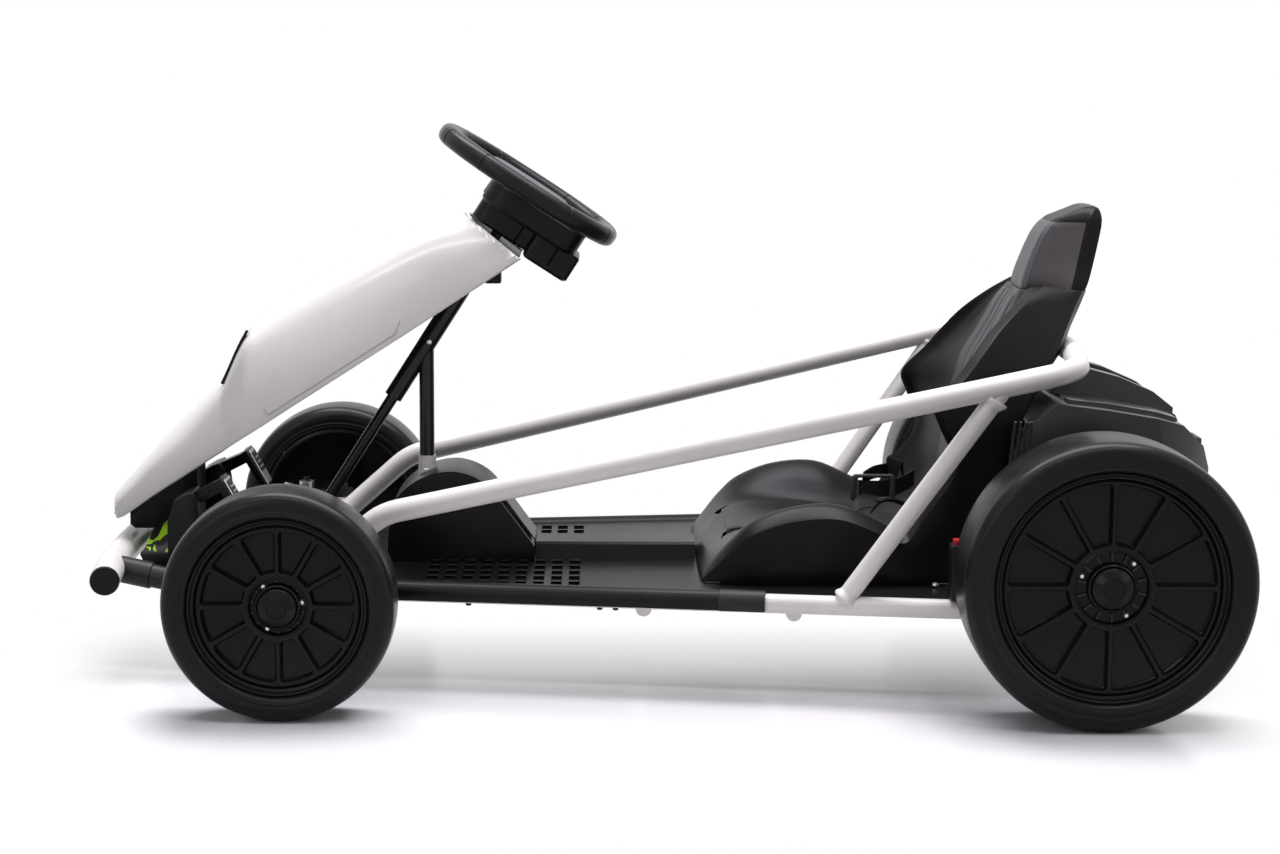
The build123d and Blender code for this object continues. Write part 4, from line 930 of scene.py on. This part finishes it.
# Seat.
# Each station, in half: middle, pad edge, inner slope, crest, outer shoulder, foot of the flank, rear edge,
# rear middle. The first stations run back along the base, the later ones run up the back.
SEAT = [
    [(-47, 0, 121), (-47, 70, 121), (-47.5, 120, 122), (-48, 150, 122), (-49, 164, 119.5), (-50, 167, 117.5),
     (-52, 120, 117.5), (-52, 0, 117.5)],
    [(-60, 0, 137), (-61, 78, 138), (-62, 126, 141), (-63, 154, 142), (-65, 171, 136), (-64, 174, 117.5),
     (-66, 120, 117.5), (-66, 0, 117.5)],
    [(-82, 0, 157), (-82, 84, 158), (-83, 132, 163), (-84, 160, 167), (-85, 178, 157), (-84, 180, 117.5),
     (-84, 120, 117.5), (-84, 0, 117.5)],
    [(-107, 0, 164), (-108, 86, 165), (-108, 130, 179), (-108, 160, 188), (-108, 181, 176), (-108, 182, 117.5),
     (-108, 120, 117.5), (-108, 0, 117.5)],
    [(-153, 0, 162), (-153, 88, 163), (-153, 130, 192), (-153, 160, 205), (-153, 182, 191), (-153, 182, 117.5),
     (-153, 120, 117.5), (-153, 0, 117.5)],
    [(-206, 0, 155), (-206, 90, 156), (-206, 130, 193), (-206, 158, 208), (-206, 182, 194), (-206, 182, 117.5),
     (-206, 120, 117.5), (-206, 0, 117.5)],
    [(-250, 0, 149), (-250, 92, 150), (-252, 132, 173), (-254, 158, 188), (-254, 181, 177), (-254, 182, 117.5),
     (-254, 120, 117.5), (-254, 0, 117.5)],
    [(-300, 0, 151), (-297, 94, 152), (-288, 136, 163), (-283, 160, 175), (-284, 178, 166), (-292, 182, 117.5),
     (-300, 120, 117.5), (-300, 0, 117.5)],
    [(-334, 0, 172), (-330, 92, 176), (-312, 136, 190), (-300, 160, 200), (-304, 175, 192), (-346, 176, 117.5),
     (-344, 120, 117.5), (-344, 0, 117.5)],
    [(-350, 0, 200), (-346, 88, 204), (-330, 136, 214), (-313, 160, 220), (-320, 173, 214), (-388, 171, 155),
     (-366, 122, 160), (-364, 0, 160)],
    [(-357, 0, 230), (-352, 84, 232), (-342, 136, 240), (-330, 160, 243), (-338, 171, 240), (-397, 164, 200),
     (-380, 122, 200), (-378, 0, 200)],
    [(-362, 0, 265), (-358, 82, 266), (-348, 136, 267), (-336, 160, 268), (-344, 170, 268), (-402, 159, 250),
     (-402, 124, 252), (-400, 0, 252)],
    [(-367, 0, 300), (-362, 80, 300), (-340, 138, 299), (-322, 160, 300), (-332, 171, 300), (-418, 157, 305),
     (-426, 122, 305), (-426, 0, 305)],
    [(-373, 0, 330), (-368, 77, 330), (-336, 138, 328), (-316, 158, 326), (-326, 169, 328), (-432, 152, 338),
     (-444, 116, 338), (-443, 0, 338)],
    [(-382, 0, 360), (-377, 74, 360), (-361, 130, 358), (-343, 149, 357), (-353, 161, 358), (-447, 144, 362),
     (-458, 110, 362), (-458, 0, 362)],
    [(-396, 0, 386), (-392, 71, 386), (-384, 118, 386), (-365, 138, 385), (-376, 149, 387), (-463, 127, 386),
     (-474, 100, 386), (-474, 0, 386)],
    [(-409, 0, 409), (-405, 66, 409), (-403, 103, 410), (-386, 122, 410), (-397, 134, 412), (-475, 110, 408),
     (-484, 88, 408), (-484, 0, 408)],
    [(-420, 0, 432), (-418, 60, 432), (-424, 82, 434), (-414, 100, 435), (-426, 111, 438), (-488, 90, 432),
     (-497, 74, 432), (-497, 0, 432)],
    [(-431, 0, 449), (-430, 50, 449), (-440, 60, 451), (-438, 72, 454), (-452, 82, 456), (-500, 74, 450),
     (-507, 60, 450), (-507, 0, 450)],
]
SEAT_ALONG, SEAT_ACROSS = 5, 4


def seat_grid():
    rows = []
    for number, half in enumerate(SEAT):
        kinks = (4, 5, 6) if number < 7 else (3, 4, 5, 6)
        rows.append(run_through(half, SEAT_ACROSS, corners=kinks))
    return run_rows(rows, SEAT_ALONG)


def carve(obj, shapes):
    """Cut the given closed shapes out of a finished piece."""
    tools = []
    for shape in shapes:
        mesh = new_mesh("cutter", shape)
        rework(mesh, lambda work: bmesh.ops.recalc_face_normals(work, faces=work.faces))
        tools.append(placed("cutter", mesh))
        cutting = obj.modifiers.new("cut", "BOOLEAN")
        cutting.operation, cutting.solver, cutting.object = "DIFFERENCE", "EXACT", tools[-1]
    made = as_changed(obj)
    obj.modifiers.clear()
    obj.data = made
    for tool in tools:
        mesh = tool.data
        bpy.data.objects.remove(tool)
        bpy.data.meshes.remove(mesh)
    made.set_sharp_from_angle(angle=math.radians(40))


def seat_shell(grid):
    """The moulded bucket in one closed piece, with its two strap slots cut through."""
    shell = piece("seat_shell", stacked([mirrored(half, ring=True) for half in grid]), SEAT_BLACK,
                  replaces=("seat_base", "seat_back"), sharp=40, rounding=(38.0, 2.2, 2))
    slot = [(-74, 84), (-78, 62), (-96, 62), (-96, 44), (-103, 44), (-106, 66), (-100, 84)]
    carve(shell, [flat_prism([(x, y * side) for x, y in slot], 100.0, 210.0) for hand, side in HANDS])


def over_seat(grid, u, v, lift):
    """A point above the seat's face at station u and column v, both counted as in SEAT."""
    r, c = u * SEAT_ALONG, abs(v) * SEAT_ACROSS
    r0, c0 = min(int(r), len(grid) - 2), min(int(c), len(grid[0]) - 2)
    fr, fc = r - r0, c - c0
    a, b = grid[r0][c0], grid[r0][c0 + 1]
    d, e = grid[r0 + 1][c0], grid[r0 + 1][c0 + 1]
    spot = (a * (1 - fc) + b * fc) * (1 - fr) + (d * (1 - fc) + e * fc) * fr
    normal = (b - a + e - d).cross(d - a + e - b).normalized()
    if normal.z * 0.6 + normal.x < 0:
        normal = -normal
    spot = spot + normal * lift
    return (spot.x, spot.y if v >= 0 else -spot.y, spot.z)


def seat_panel(name, grid, outline, finish, lift, grooves=()):
    """A panel laid in the seat: outline gives (station, left column) pairs from front to back."""
    across, sink, groove_half, groove_depth = 24, 3.0, 0.05, 1.6
    spread = run_through([(u, w, 0) for u, w in outline], 4)
    last = len(spread) - 1
    verts = []
    for r, place in enumerate(spread):
        for c in range(across + 1):
            t = -1 + 2 * c / across
            edge = min(1.0, (1 - abs(t)) * across / 2.0, r, last - r)
            height = lift if edge >= 1 else (lift * 0.55 if edge > 0 else -sink)
            height -= groove_depth * sum(abs(t - g) < groove_half for g in grooves)
            verts.append(over_seat(grid, place.x, t * place.y, height))
    piece(name, (verts, grid_faces(len(spread), across + 1)), finish)


def headrest():
    levels = [
        # z, front x, front half width, side front x and half, side rear x and half, rim x and half, rear x
        (440, -434, 36, -440, 44, -486, 66, -500, 64, -502), (458, -434, 41, -439, 50, -492, 63, -509, 60, -511),
        (486, -443, 39, -448, 46, -499, 55, -517, 53, -519), (512, -454, 37, -459, 43, -505, 50.5, -523, 48.5, -525),
        (525, -463, 36, -467, 42, -508, 49, -525.5, 47, -527), (533, -473, 35, -477, 40, -510, 48, -526, 46, -527.5),
        (540, -490, 33, -493, 38, -513, 45, -525, 43, -526.5), (545.5, -503, 31, -505, 35, -516, 40, -523, 38, -524.5),
        (547.6, -509, 28, -511, 31, -517, 35, -520, 33, -521.5),
    ]
    rings = []
    for z, f, fy, s, sy, r, ry, m, my, b in levels:
        half = [(f, 0, z), (f, fy * 0.92, z), (s, sy, z), (r + 1.5, ry - 1.2, z), (r - 1.5, ry + 2.2, z),
                (m, my, z), (b, my * 0.5, z), (b, 0, z)]
        ring = [Vector(v) for v in mirrored(half, ring=True)]
        rings.append([a.lerp(b, k / 4) for a, b in zip(ring, ring[1:] + ring[:1]) for k in range(4)])
    grid = run_rows(rings, 4, corners=(4, 5))
    columns = len(grid[0])
    verts, faces = stacked(grid)
    indices = []
    for number, face in enumerate(faces):
        below_cap = verts[face[0]][2] < 529 and len(face) == 4
        strip = (number % columns) // 4
        indices.append(1 if below_cap and 4 <= strip <= 7 else 2 if below_cap and strip in (3, 8) else 0)
    piece("headrest", (verts, faces), [SEAT_BLACK, HEAD_FRONT, HEAD_SIDE], sharp=34, indices=indices,
          rounding=(26.0, 1.6, 2))


# Steering wheel.
def column_point(across, left, down):
    """A point given across the column, to the kart's left, and down from the wheel's middle."""
    return tuple(Vector(COLUMN_TOP) + COLUMN_ACROSS * across + Vector((0, left, 0)) + COLUMN_DOWN * down)


def steering_rim():
    """The rim's grips: a rounded section swept round the wheel, pinched where the grips meet."""
    joints = (62.0, 118.0, 152.0, 208.0, 242.0, 298.0, 332.0, 28.0)
    near, squareness, half_size, largest = 0.011, 2.5, 110.0, 114.0
    section = []
    for t in full_turn(28):
        c, q = math.cos(t), math.sin(t)
        section.append((13.2 * math.copysign(abs(c) ** 0.78, c), 11.6 * math.copysign(abs(q) ** 0.72, q)))
    marks = [(t, 1.0) for t in full_turn(160)]
    for joint in map(math.radians, joints):
        marks = [m for m in marks if abs((m[0] - joint + math.pi) % (2 * math.pi) - math.pi) > near * 1.3]
        marks += [(joint - near, 1.0), (joint - near * 0.45, 0.93), (joint + near * 0.45, 0.93), (joint + near, 1.0)]
    rings = []
    for angle, pinch in sorted(marks):
        round_off = abs(math.cos(angle)) ** squareness + abs(math.sin(angle)) ** squareness
        radius = min(half_size * round_off ** (-1 / squareness), largest)
        rings.append([column_point(*polar(radius + out * pinch, angle), rise * pinch) for out, rise in section])
    piece("steering_rim", stacked(rings, looped=True), GRIP, "steering", ("steering_wheel",))


def rounded(low_a, high_a, half_b, radius, steps):
    """A rounded rectangle outline: across from low_a to high_a, left from -half_b to half_b."""
    points = []
    for ca, cb, start in ((high_a - radius, half_b - radius, 0), (low_a + radius, half_b - radius, 90),
                          (low_a + radius, -half_b + radius, 180), (high_a - radius, -half_b + radius, 270)):
        points += arc((ca, cb), radius, start, start + 90, steps)
    return points


STEERING_BLOCKS = [
    # name, finish, sharp angle, across from and to, half width, corner radius, 1 where the corner grows too,
    # corner steps, and (depth, growth) pairs down the column
    ("pad", METAL_BLACK, 24, -52.0, 52.0, 44.0, 34.0, 1, 6,
     ((-3.5, -15.0), (-5.0, -9.0), (-2.5, -4.0), (2.0, -1.0), (8.0, 0.0), (12.2, -1.0))),
    ("housing", SATIN_BLACK, 32, -91.0, 39.0, 62.0, 26.0, 1, 6, ((12.5, -2.5), (15.0, 0.0), (38.0, 0.0), (42.0, -3.0))),
    ("collar_ring", SATIN_BLACK, 32, -44.0, 37.0, 53.0, 16.0, 0, 6, ((40.0, 0.0), (63.0, 0.0), (65.5, -2.0))),
    ("case", SATIN_BLACK, 32, -99.0, -38.0, 53.0, 7.0, 0, 4, ((39.0, -2.0), (41.0, 0.0), (69.5, 0.0), (72.5, -3.0))),
    ("seam_1", VOID_BLACK, 32, -71.4, -68.6, 53.8, 1.0, 0, 2, ((40.0, 0.0), (66.0, 0.0))),
    ("seam_2", VOID_BLACK, 32, -23.4, -20.6, 53.8, 1.0, 0, 2, ((36.0, 0.0), (66.0, 0.0))),
    # A lighter grey ring round the pad's edge: a painted highlight.
    ("pad_band", HEAD_FRONT, 24, -52.0, 52.0, 44.0, 30.0, 0, 6, ((-6.5, -3.0), (-5.5, 0.0), (-1.5, 1.0), (1.0, 0.0))),
    ("switch_hood", METAL_BLACK, 32, 8.0, 40.0, 34.0, 11.0, 0, 5, ((14.0, 0.0), (34.0, 1.0), (37.0, -1.5))),
]


def steering_centre():
    """The pad and the boxes under it, stacked down the column, and the three spokes."""
    for name, finish, sharp, low, high, half, radius, follow, steps, levels in STEERING_BLOCKS:
        rings = []
        for depth, grow in levels:
            outline = rounded(low - grow, high + grow, half + grow, radius + grow * follow, steps)
            rings.append([column_point(a, b, depth) for a, b in outline])
        piece("steering_" + name, stacked(rings), finish, "steering", ("steering_hub",) if name == "housing" else (),
              sharp=sharp)
    for number, angle in enumerate((90.0, 270.0, 180.0), 1):
        ca, cb = polar(1.0, math.radians(angle))
        rings = []
        for i in range(9):
            f = i / 8.0
            reach, sink = 38.0 + 66.0 * f, 4.0 - 3.0 * f
            half = 19.0 - 6.0 * math.sin(math.pi * min(1.0, f * 1.1))
            thick = 5.0 - 1.4 * math.sin(math.pi * f)
            corners = [(half - 2.5, -thick), (half, 2.0 - thick), (half, thick - 2.0), (half - 2.5, thick)]
            corners += [(-b, rise) for b, rise in reversed(corners)]
            rings.append([column_point(reach * ca - b * cb, reach * cb + b * ca, sink + rise) for b, rise in corners])
        piece("steering_spoke_%d" % number, stacked(rings), METAL_BLACK, "steering")


# Covers, pedals and small parts.
def slimmer_hump(spot):
    foot = FLOOR + 0.3
    return spot.x, spot.y * 0.85, foot + (spot.z - foot) * 0.88


def drawn_in(spot):
    """The rear cover narrows towards its tail."""
    t = max(0.0, (-556.0 - spot.x) / 94.0)
    return spot.x, spot.y * (1.0 - 0.38 * t * t), spot.z


def splash_cover():
    """Low cover ahead of the pedals: flat in the middle, sloping down to each side."""
    foot, shoulder = FLOOR + 0.3, 134
    outline = [(610, foot), (617, shoulder), (611, 152), (588, 169), (562, 169), (540, 150), (540, foot)]
    rows = []
    for y, keep in ((-92, 0.05), (-86, 0.25), (-34, 1.0), (34, 1.0), (86, 0.25), (92, 0.05)):
        rows.append([(x, y, min(z, shoulder) + max(0, z - shoulder) * keep) for x, z in outline])
    piece("splash_cover", stacked(rows), SPLASH, replaces=("front_cover",), sharp=36, rounding=(20.0, 2.0, 2))


def pedal_plate(hand, side):
    """Bright slotted plate on the pedal's sloping face."""
    low, high = Vector((486.4, side * 106.0, 183.6)), Vector((512.6, side * 106.0, 230.4))
    along = (high - low).normalized()
    out = Vector((-along.z, 0, along.x))

    def slab(a0, a1, half, depth):
        corners = ((a0, -half), (a1, -half), (a1, half), (a0, half))
        return stacked([[low + along * a + out * (lift + 0.2) + Vector((0, b, 0)) for a, b in corners]
                        for lift in (0.0, depth)])

    piece("pedal_plate_" + hand, slab(3.0, 50.5, 18.0, 1.4), STEEL, rounding=(30.0, 0.4, 1))
    piece("pedal_inset_" + hand, slab(20.0, 47.0, 14.0, 2.0), SATIN_BLACK, rounding=(30.0, 0.5, 1))
    bars = [slab(start, start + 2.0, 10.0, 2.7) for start in (25.0, 31.5, 38.0)]
    piece("pedal_bars_" + hand, join(*bars), STEEL)


def floor_louvres():
    """Raised hoods, near and far, each 12 wide, with a near-black sheet under each as painted shade in its slot."""
    hood = [(-11.5, 0.0), (-11.5, 0.5), (6.5, 3.4), (8.5, 3.4), (8.5, 2.6), (5.0, 0.0)]
    louvre = stacked([[(x, y, z) for y, z in hood] for x in (-6.0, 6.0)])
    slot = box_shape((-6.4, -12.5, -0.2), (6.4, 13.5, 0.5))
    for label, cx, cy, columns in (("near", 183.0, 112.0, 9), ("far", 128.0, -112.0, 4)):
        for name, shape, finish in (("louvres_", louvre, SLEEVE_BLACK), ("slots_", slot, VOID_BLACK)):
            verts, faces = repeated(PIECES_ON_GRID, shape, finish, columns=columns, rows=5, column_step=0.0208,
                                    row_step=0.030)
            verts = [(x + cx, y + cy, z + FLOOR + 0.05) for x, y, z in verts]
            piece("floor_" + name + label, (verts, faces), finish)


# Bolts along the frame: place, facing, size and finish.
BOLTS = [
    ((281.0, 12.4, 222.0), (0, 1, 0), 3.6, STEEL), ((277.0, 11.4, 379.0), (0, 1, 0), 3.2, STEEL),
    ((-318.0, 186.0, 118.0), (0.0, 0.15, 1.0), 4.2, STEEL), ((221.0, 196.0, 97.6), (0, 0, -1), 3.4, METAL_BLACK),
    ((70.0, 217.0, 97.6), (0, 0, -1), 3.4, METAL_BLACK), ((52.0, 219.0, 97.6), (0, 0, -1), 3.4, METAL_BLACK),
]


def frame_bolts():
    for number, (spot, facing, size, finish) in enumerate(BOLTS, 1):
        verts, faces = dome(size, size * 0.75, 12, 0.8)
        turn = Vector(facing).to_track_quat("Z", "Y").to_matrix()
        piece("frame_bolt_%d" % number, ([turn @ Vector(v) + Vector(spot) for v in verts], faces), finish)


def cover_ribs(hand, side):
    """Ribs at the front corner of the rear cover, leaning with it."""
    rib = box_shape((-1.6, -2.6, -46.0), (1.6, 2.6, 46.0))
    verts, faces = repeated(PIECES_ON_GRID, rib, COVER_BLACK, columns=4, rows=1, column_step=0.0062, row_step=0.01)
    verts = [(x - 413.0 - z * 0.10, y + side * 171.0, z + 262.0) for x, y, z in verts]
    piece("cover_ribs_" + hand, (verts, faces), COVER_BLACK, rounding=(30.0, 0.6, 1))


def seat_edges(hand, side):
    """The flange under the seat's side, and the skirt that closes it."""
    flange = [(-62.0, 168.0), (-62.0, 218.0), (-330.0, 252.0), (-392.0, 240.0), (-392.0, 168.0)]
    skirt = [(-52.0, 171.0), (-52.0, 176.0), (-352.0, 180.0), (-352.0, 171.0)]
    for name, plan, low, high in (("flange_", flange, 112.6, 115.6), ("skirt_", skirt, 113.0, 119.0)):
        piece("seat_" + name + hand, flat_prism([(x, y * side) for x, y in plan], low, high), SATIN_BLACK,
              rounding=(30.0, 0.8, 1))


def brace_collars(hand):
    """Weld collars where a brace meets the lower and the upper tube."""
    source = nodes_in_frame["brace_" + hand]
    spots = [source.matrix_world @ v.co / MM for v in source.data.vertices]
    foot, top = ([v for v in spots if v.z < 150.0], [v for v in spots if v.z > 320.0])
    foot, top = (sum(found, Vector()) / len(found) for found in (foot, top))
    axis = (top - foot).normalized()
    first = axis.cross(Vector((0, 1, 0))).normalized()
    second = axis.cross(first)
    profile = [(0.0, 0.0), (14.6, 0.0), (15.0, 1.6), (14.2, 4.0), (12.2, 6.4), (11.5, 9.0), (10.0, 9.4), (0.0, 9.4)]
    for label, height, way in (("foot", 116.5, 1.0), ("top", 348.0, -1.0)):
        base = foot + axis * ((height - foot.z) / axis.z)

        def place(radius, angle, along):
            a, b = polar(radius, angle)
            return base + axis * along * way + first * a + second * b

        piece("weld_" + label + "_" + hand, lathe(profile, full_turn(28), place), FRAME_WHITE,
              sharp=40)


def belt():
    """Lap belt with its buckle."""
    web = strap([(-302, -10, 214), (-296, 2, 232), (-289, 10, 236), (-284, 16, 214), (-283, 18, 203)],
                [(0.2, 0.3, 1), (0.5, 0.4, 0.8), (0.9, 0.3, 0.4), (0.3, 0.1, 1), (0, 0, 1)], 21.0, 1.8)
    across = strap([(-246, 14, 202), (-258, 18.5, 202), (-272, 18.5, 202), (-290, 12, 203), (-306, -8, 206),
                    (-318, -30, 208)], [(0, 0, 1)] * 6, 20.0, 2.0)
    flap = strap([(-250, 15, 214), (-262, 14, 221), (-276, 12, 224), (-290, 6, 226)],
                 [(-0.1, 0.2, 1)] * 4, 17.0, 1.8)
    tail = strap([(-232, 44, 174), (-240, 36, 184), (-252, 26, 189), (-266, 22, 190)],
                 [(0.1, 0.9, -0.5), (0.1, 0.9, -0.5), (0.2, 0.7, -0.6), (0.3, 0.6, -0.6)], 26.0, 1.8)
    loop = strap([(-258, 40, 176), (-268, 44, 189), (-282, 50, 194), (-298, 58, 190), (-312, 66, 184),
                  (-326, 74, 190), (-344, 84, 200)],
                 [(0.1, 1, 0.2), (0.1, 1, 0.25), (0, 1, 0.3), (-0.1, 1, 0.3), (-0.1, 1, 0.35), (0, 0.9, 0.5),
                  (0, 0.8, 0.6)], 27.0, 2.0)
    piece("belt_webbing", join(web, across, flap, tail, loop), WEBBING, sharp=34)
    rings = []
    for cx, cz, start in ((-244.0, 213.0, 0), (-281.0, 213.0, 90), (-281.0, 193.0, 180), (-244.0, 193.0, 270)):
        for x, z in arc((cx, cz), 5.0, start, start + 90, 4):
            out = Vector((x + 262.5, 0, z - 203.0)).normalized()
            rings.append([Vector((x, 19.5 + 2.6 * math.sin(t), z)) + out * 3.8 * math.cos(t) for t in full_turn(8)])
    piece("belt_buckle", stacked(rings, looped=True), BUCKLE, sharp=40)


# Everything in place.
for make in (tyre, rim, hub_details):
    for size in WHEELS:
        for hand, side in HANDS:
            make(size, size[0] + "_" + hand, side)

NOSE_NET = nose_net()
nose_shell(NOSE_NET)
nose_end(NOSE_NET)
nose_trim(NOSE_NET)
SEAT_NET = seat_grid()
seat_shell(SEAT_NET)
seat_panel("seat_pad", SEAT_NET, [(1.9, 0.78), (2.6, 0.94), (3.2, 1.18), (4.2, 1.3), (5.2, 1.28), (6.4, 1.12)],
           SEAT_BLACK, 2.4)
seat_panel("back_insert", SEAT_NET, [(9.3, 0.72), (11.0, 0.84), (13.0, 0.86), (15.0, 0.84), (17.0, 0.8), (17.8, 0.8)],
           PAD_GREY, 2.2, grooves=(-0.42, 0.0, 0.42))
headrest()
splash_cover()
softened("battery_cover", "hump_cover", SATIN_BLACK, 4.5, slimmer_hump, 3)
softened("nose_bracket", "nose_stay", SATIN_BLACK, 2.5)
softened("rear_cover", "engine_cover", COVER_BLACK, 4.0, drawn_in, 3)
softened("tail_piece", "tail_block", PAD_GREY, 2.5)
softened("switch_holder", "switch_box", SATIN_BLACK, 1.2)
hump_plate = [(149.6, 141.0), (188.6, 194.5), (187.4, 195.4), (148.2, 141.8)]
piece("hump_plate", prism(hump_plate, -36.0, 36.0), PAD_GREY, rounding=(30.0, 0.4, 1))
floor_louvres()
frame_bolts()
for hand, side in HANDS:
    softened("pedal_" + hand, "foot_pedal_" + hand, SATIN_BLACK, 1.4)
    pedal_plate(hand, side)
    cover_ribs(hand, side)
    seat_edges(hand, side)
    brace_collars(hand)
belt()
steering_rim()
steering_centre()
dress_cad()


# Camera and stage.
def place_camera():
    """The camera that took the photo: turned, tipped and rolled as it was, with its focal length in pixels."""
    yaw, pitch, roll = math.radians(0.993), math.radians(8.531), math.radians(0.365)
    focal, photo_width, sensor = 2476.69, 1280.0, 36.0
    ahead = Vector((-math.sin(yaw), -math.cos(yaw), 0))
    right = Vector((-math.cos(yaw), math.sin(yaw), 0))
    up = Vector((0, 0, 1))
    look = ahead * math.cos(pitch) - up * math.sin(pitch)
    lift = up * math.cos(pitch) + ahead * math.sin(pitch)
    across = right * math.cos(roll) + lift * math.sin(roll)
    upright = lift * math.cos(roll) - right * math.sin(roll)
    data = bpy.data.cameras.new("photo_view")
    data.sensor_width = sensor
    data.lens = focal * sensor / photo_width
    data.clip_end = 60.0
    obj = placed("photo_view", data)
    turn = Matrix((across, upright, -look)).transposed().to_4x4()
    obj.matrix_world = Matrix.Translation((0.0733, 2.9878, 0.7224)) @ turn
    bpy.context.scene.camera = obj


def pale_floor():
    """A pale floor that fades out round the kart's shadow."""
    size = 9.0
    mesh = bpy.data.meshes.new("pale_floor")
    mesh.from_pydata([(-size, -size, 0), (size, -size, 0), (size, size, 0), (-size, size, 0)], [], [(0, 1, 2, 3)])
    made = bpy.data.materials.new("pale_floor")
    made.use_nodes = True
    tree = made.node_tree
    tree.nodes.clear()
    place = node(tree, "ShaderNodeTexCoord", -1200, 0).outputs["Object"]
    noise = node(tree, "ShaderNodeTexNoise", -600, 0, {"Scale": 3.0, "Vector": place})
    rough = remap(tree, -300, 0, noise.outputs["Fac"], 0.3, 0.7, 0.14, 0.2)
    shader = node(tree, "ShaderNodeBsdfPrincipled", 200, 100,
                  {"Base Color": (0.80, 0.775, 0.82), "Roughness": rough, "Specular IOR Level": 0.5})
    clear = node(tree, "ShaderNodeBsdfTransparent", 200, -200)
    parts = node(tree, "ShaderNodeSeparateXYZ", -1000, -300, {0: place})
    far = remap(tree, -700, -300, parts.outputs["Y"], -0.12, 0.30, 1.0, 0.0)
    near = remap(tree, -700, -550, parts.outputs["Y"], 0.47, 0.76)
    side = math_node(tree, "ABSOLUTE", -900, -800, parts.outputs["X"])
    wide = remap(tree, -700, -800, side, 0.55, 0.78)
    fade = math_node(tree, "MAXIMUM", -400, -400, math_node(tree, "MAXIMUM", -500, -500, far, near), wide)
    mix = node(tree, "ShaderNodeMixShader", 600, 0, {0: fade, 1: shader.outputs[0], 2: clear.outputs[0]})
    node(tree, "ShaderNodeOutputMaterial", 900, 0, {"Surface": mix.outputs[0]})
    mesh.materials.append(made)
    placed("pale_floor", mesh)


def soft_light(name, place, target, size, power):
    data = bpy.data.lights.new(name, "AREA")
    data.shape = "RECTANGLE"
    data.size, data.size_y = size
    data.energy = power
    way = (Vector(target) - Vector(place)).to_track_quat("-Z", "Y")
    placed(name, data).matrix_world = Matrix.Translation(place) @ way.to_matrix().to_4x4()


def studio_world():
    """White where it is seen or mirrored, and a dim cool light on everything else."""
    world = bpy.data.worlds.new("studio")
    bpy.context.scene.world = world
    world.use_nodes = True
    tree = world.node_tree
    tree.nodes.clear()
    ray = node(tree, "ShaderNodeLightPath", -400, 200)
    seen = math_node(tree, "MAXIMUM", -150, 200, ray.outputs["Is Camera Ray"], ray.outputs["Is Glossy Ray"])
    seen = math_node(tree, "MAXIMUM", 50, 200, seen, ray.outputs["Is Transmission Ray"])
    plain = node(tree, "ShaderNodeBackground", 100, -50, {"Color": (0.95, 0.96, 1.0), "Strength": 0.22})
    white = node(tree, "ShaderNodeBackground", 100, -200, {"Color": (1, 1, 1), "Strength": 1.0})
    mix = node(tree, "ShaderNodeMixShader", 350, 0, {0: seen, 1: plain.outputs[0], 2: white.outputs[0]})
    node(tree, "ShaderNodeOutputWorld", 600, 0, {"Surface": mix.outputs[0]})


place_camera()
pale_floor()
studio_world()
soft_light("overhead", (-0.1, -0.25, 2.5), (0, 0, 0.2), (2.8, 1.1), 112.0)
soft_light("front_strip", (0.1, 1.05, 2.1), (0, 0, 0.3), (2.8, 0.22), 17.0)
soft_light("front_fill", (1.5, 2.4, 1.5), (0.1, 0, 0.3), (1.3, 1.3), 9.5)
soft_light("rear_fill", (-2.4, 1.2, 1.4), (-0.3, 0, 0.3), (1.3, 1.3), 7.0)
bpy.context.scene.view_settings.view_transform = "Standard"
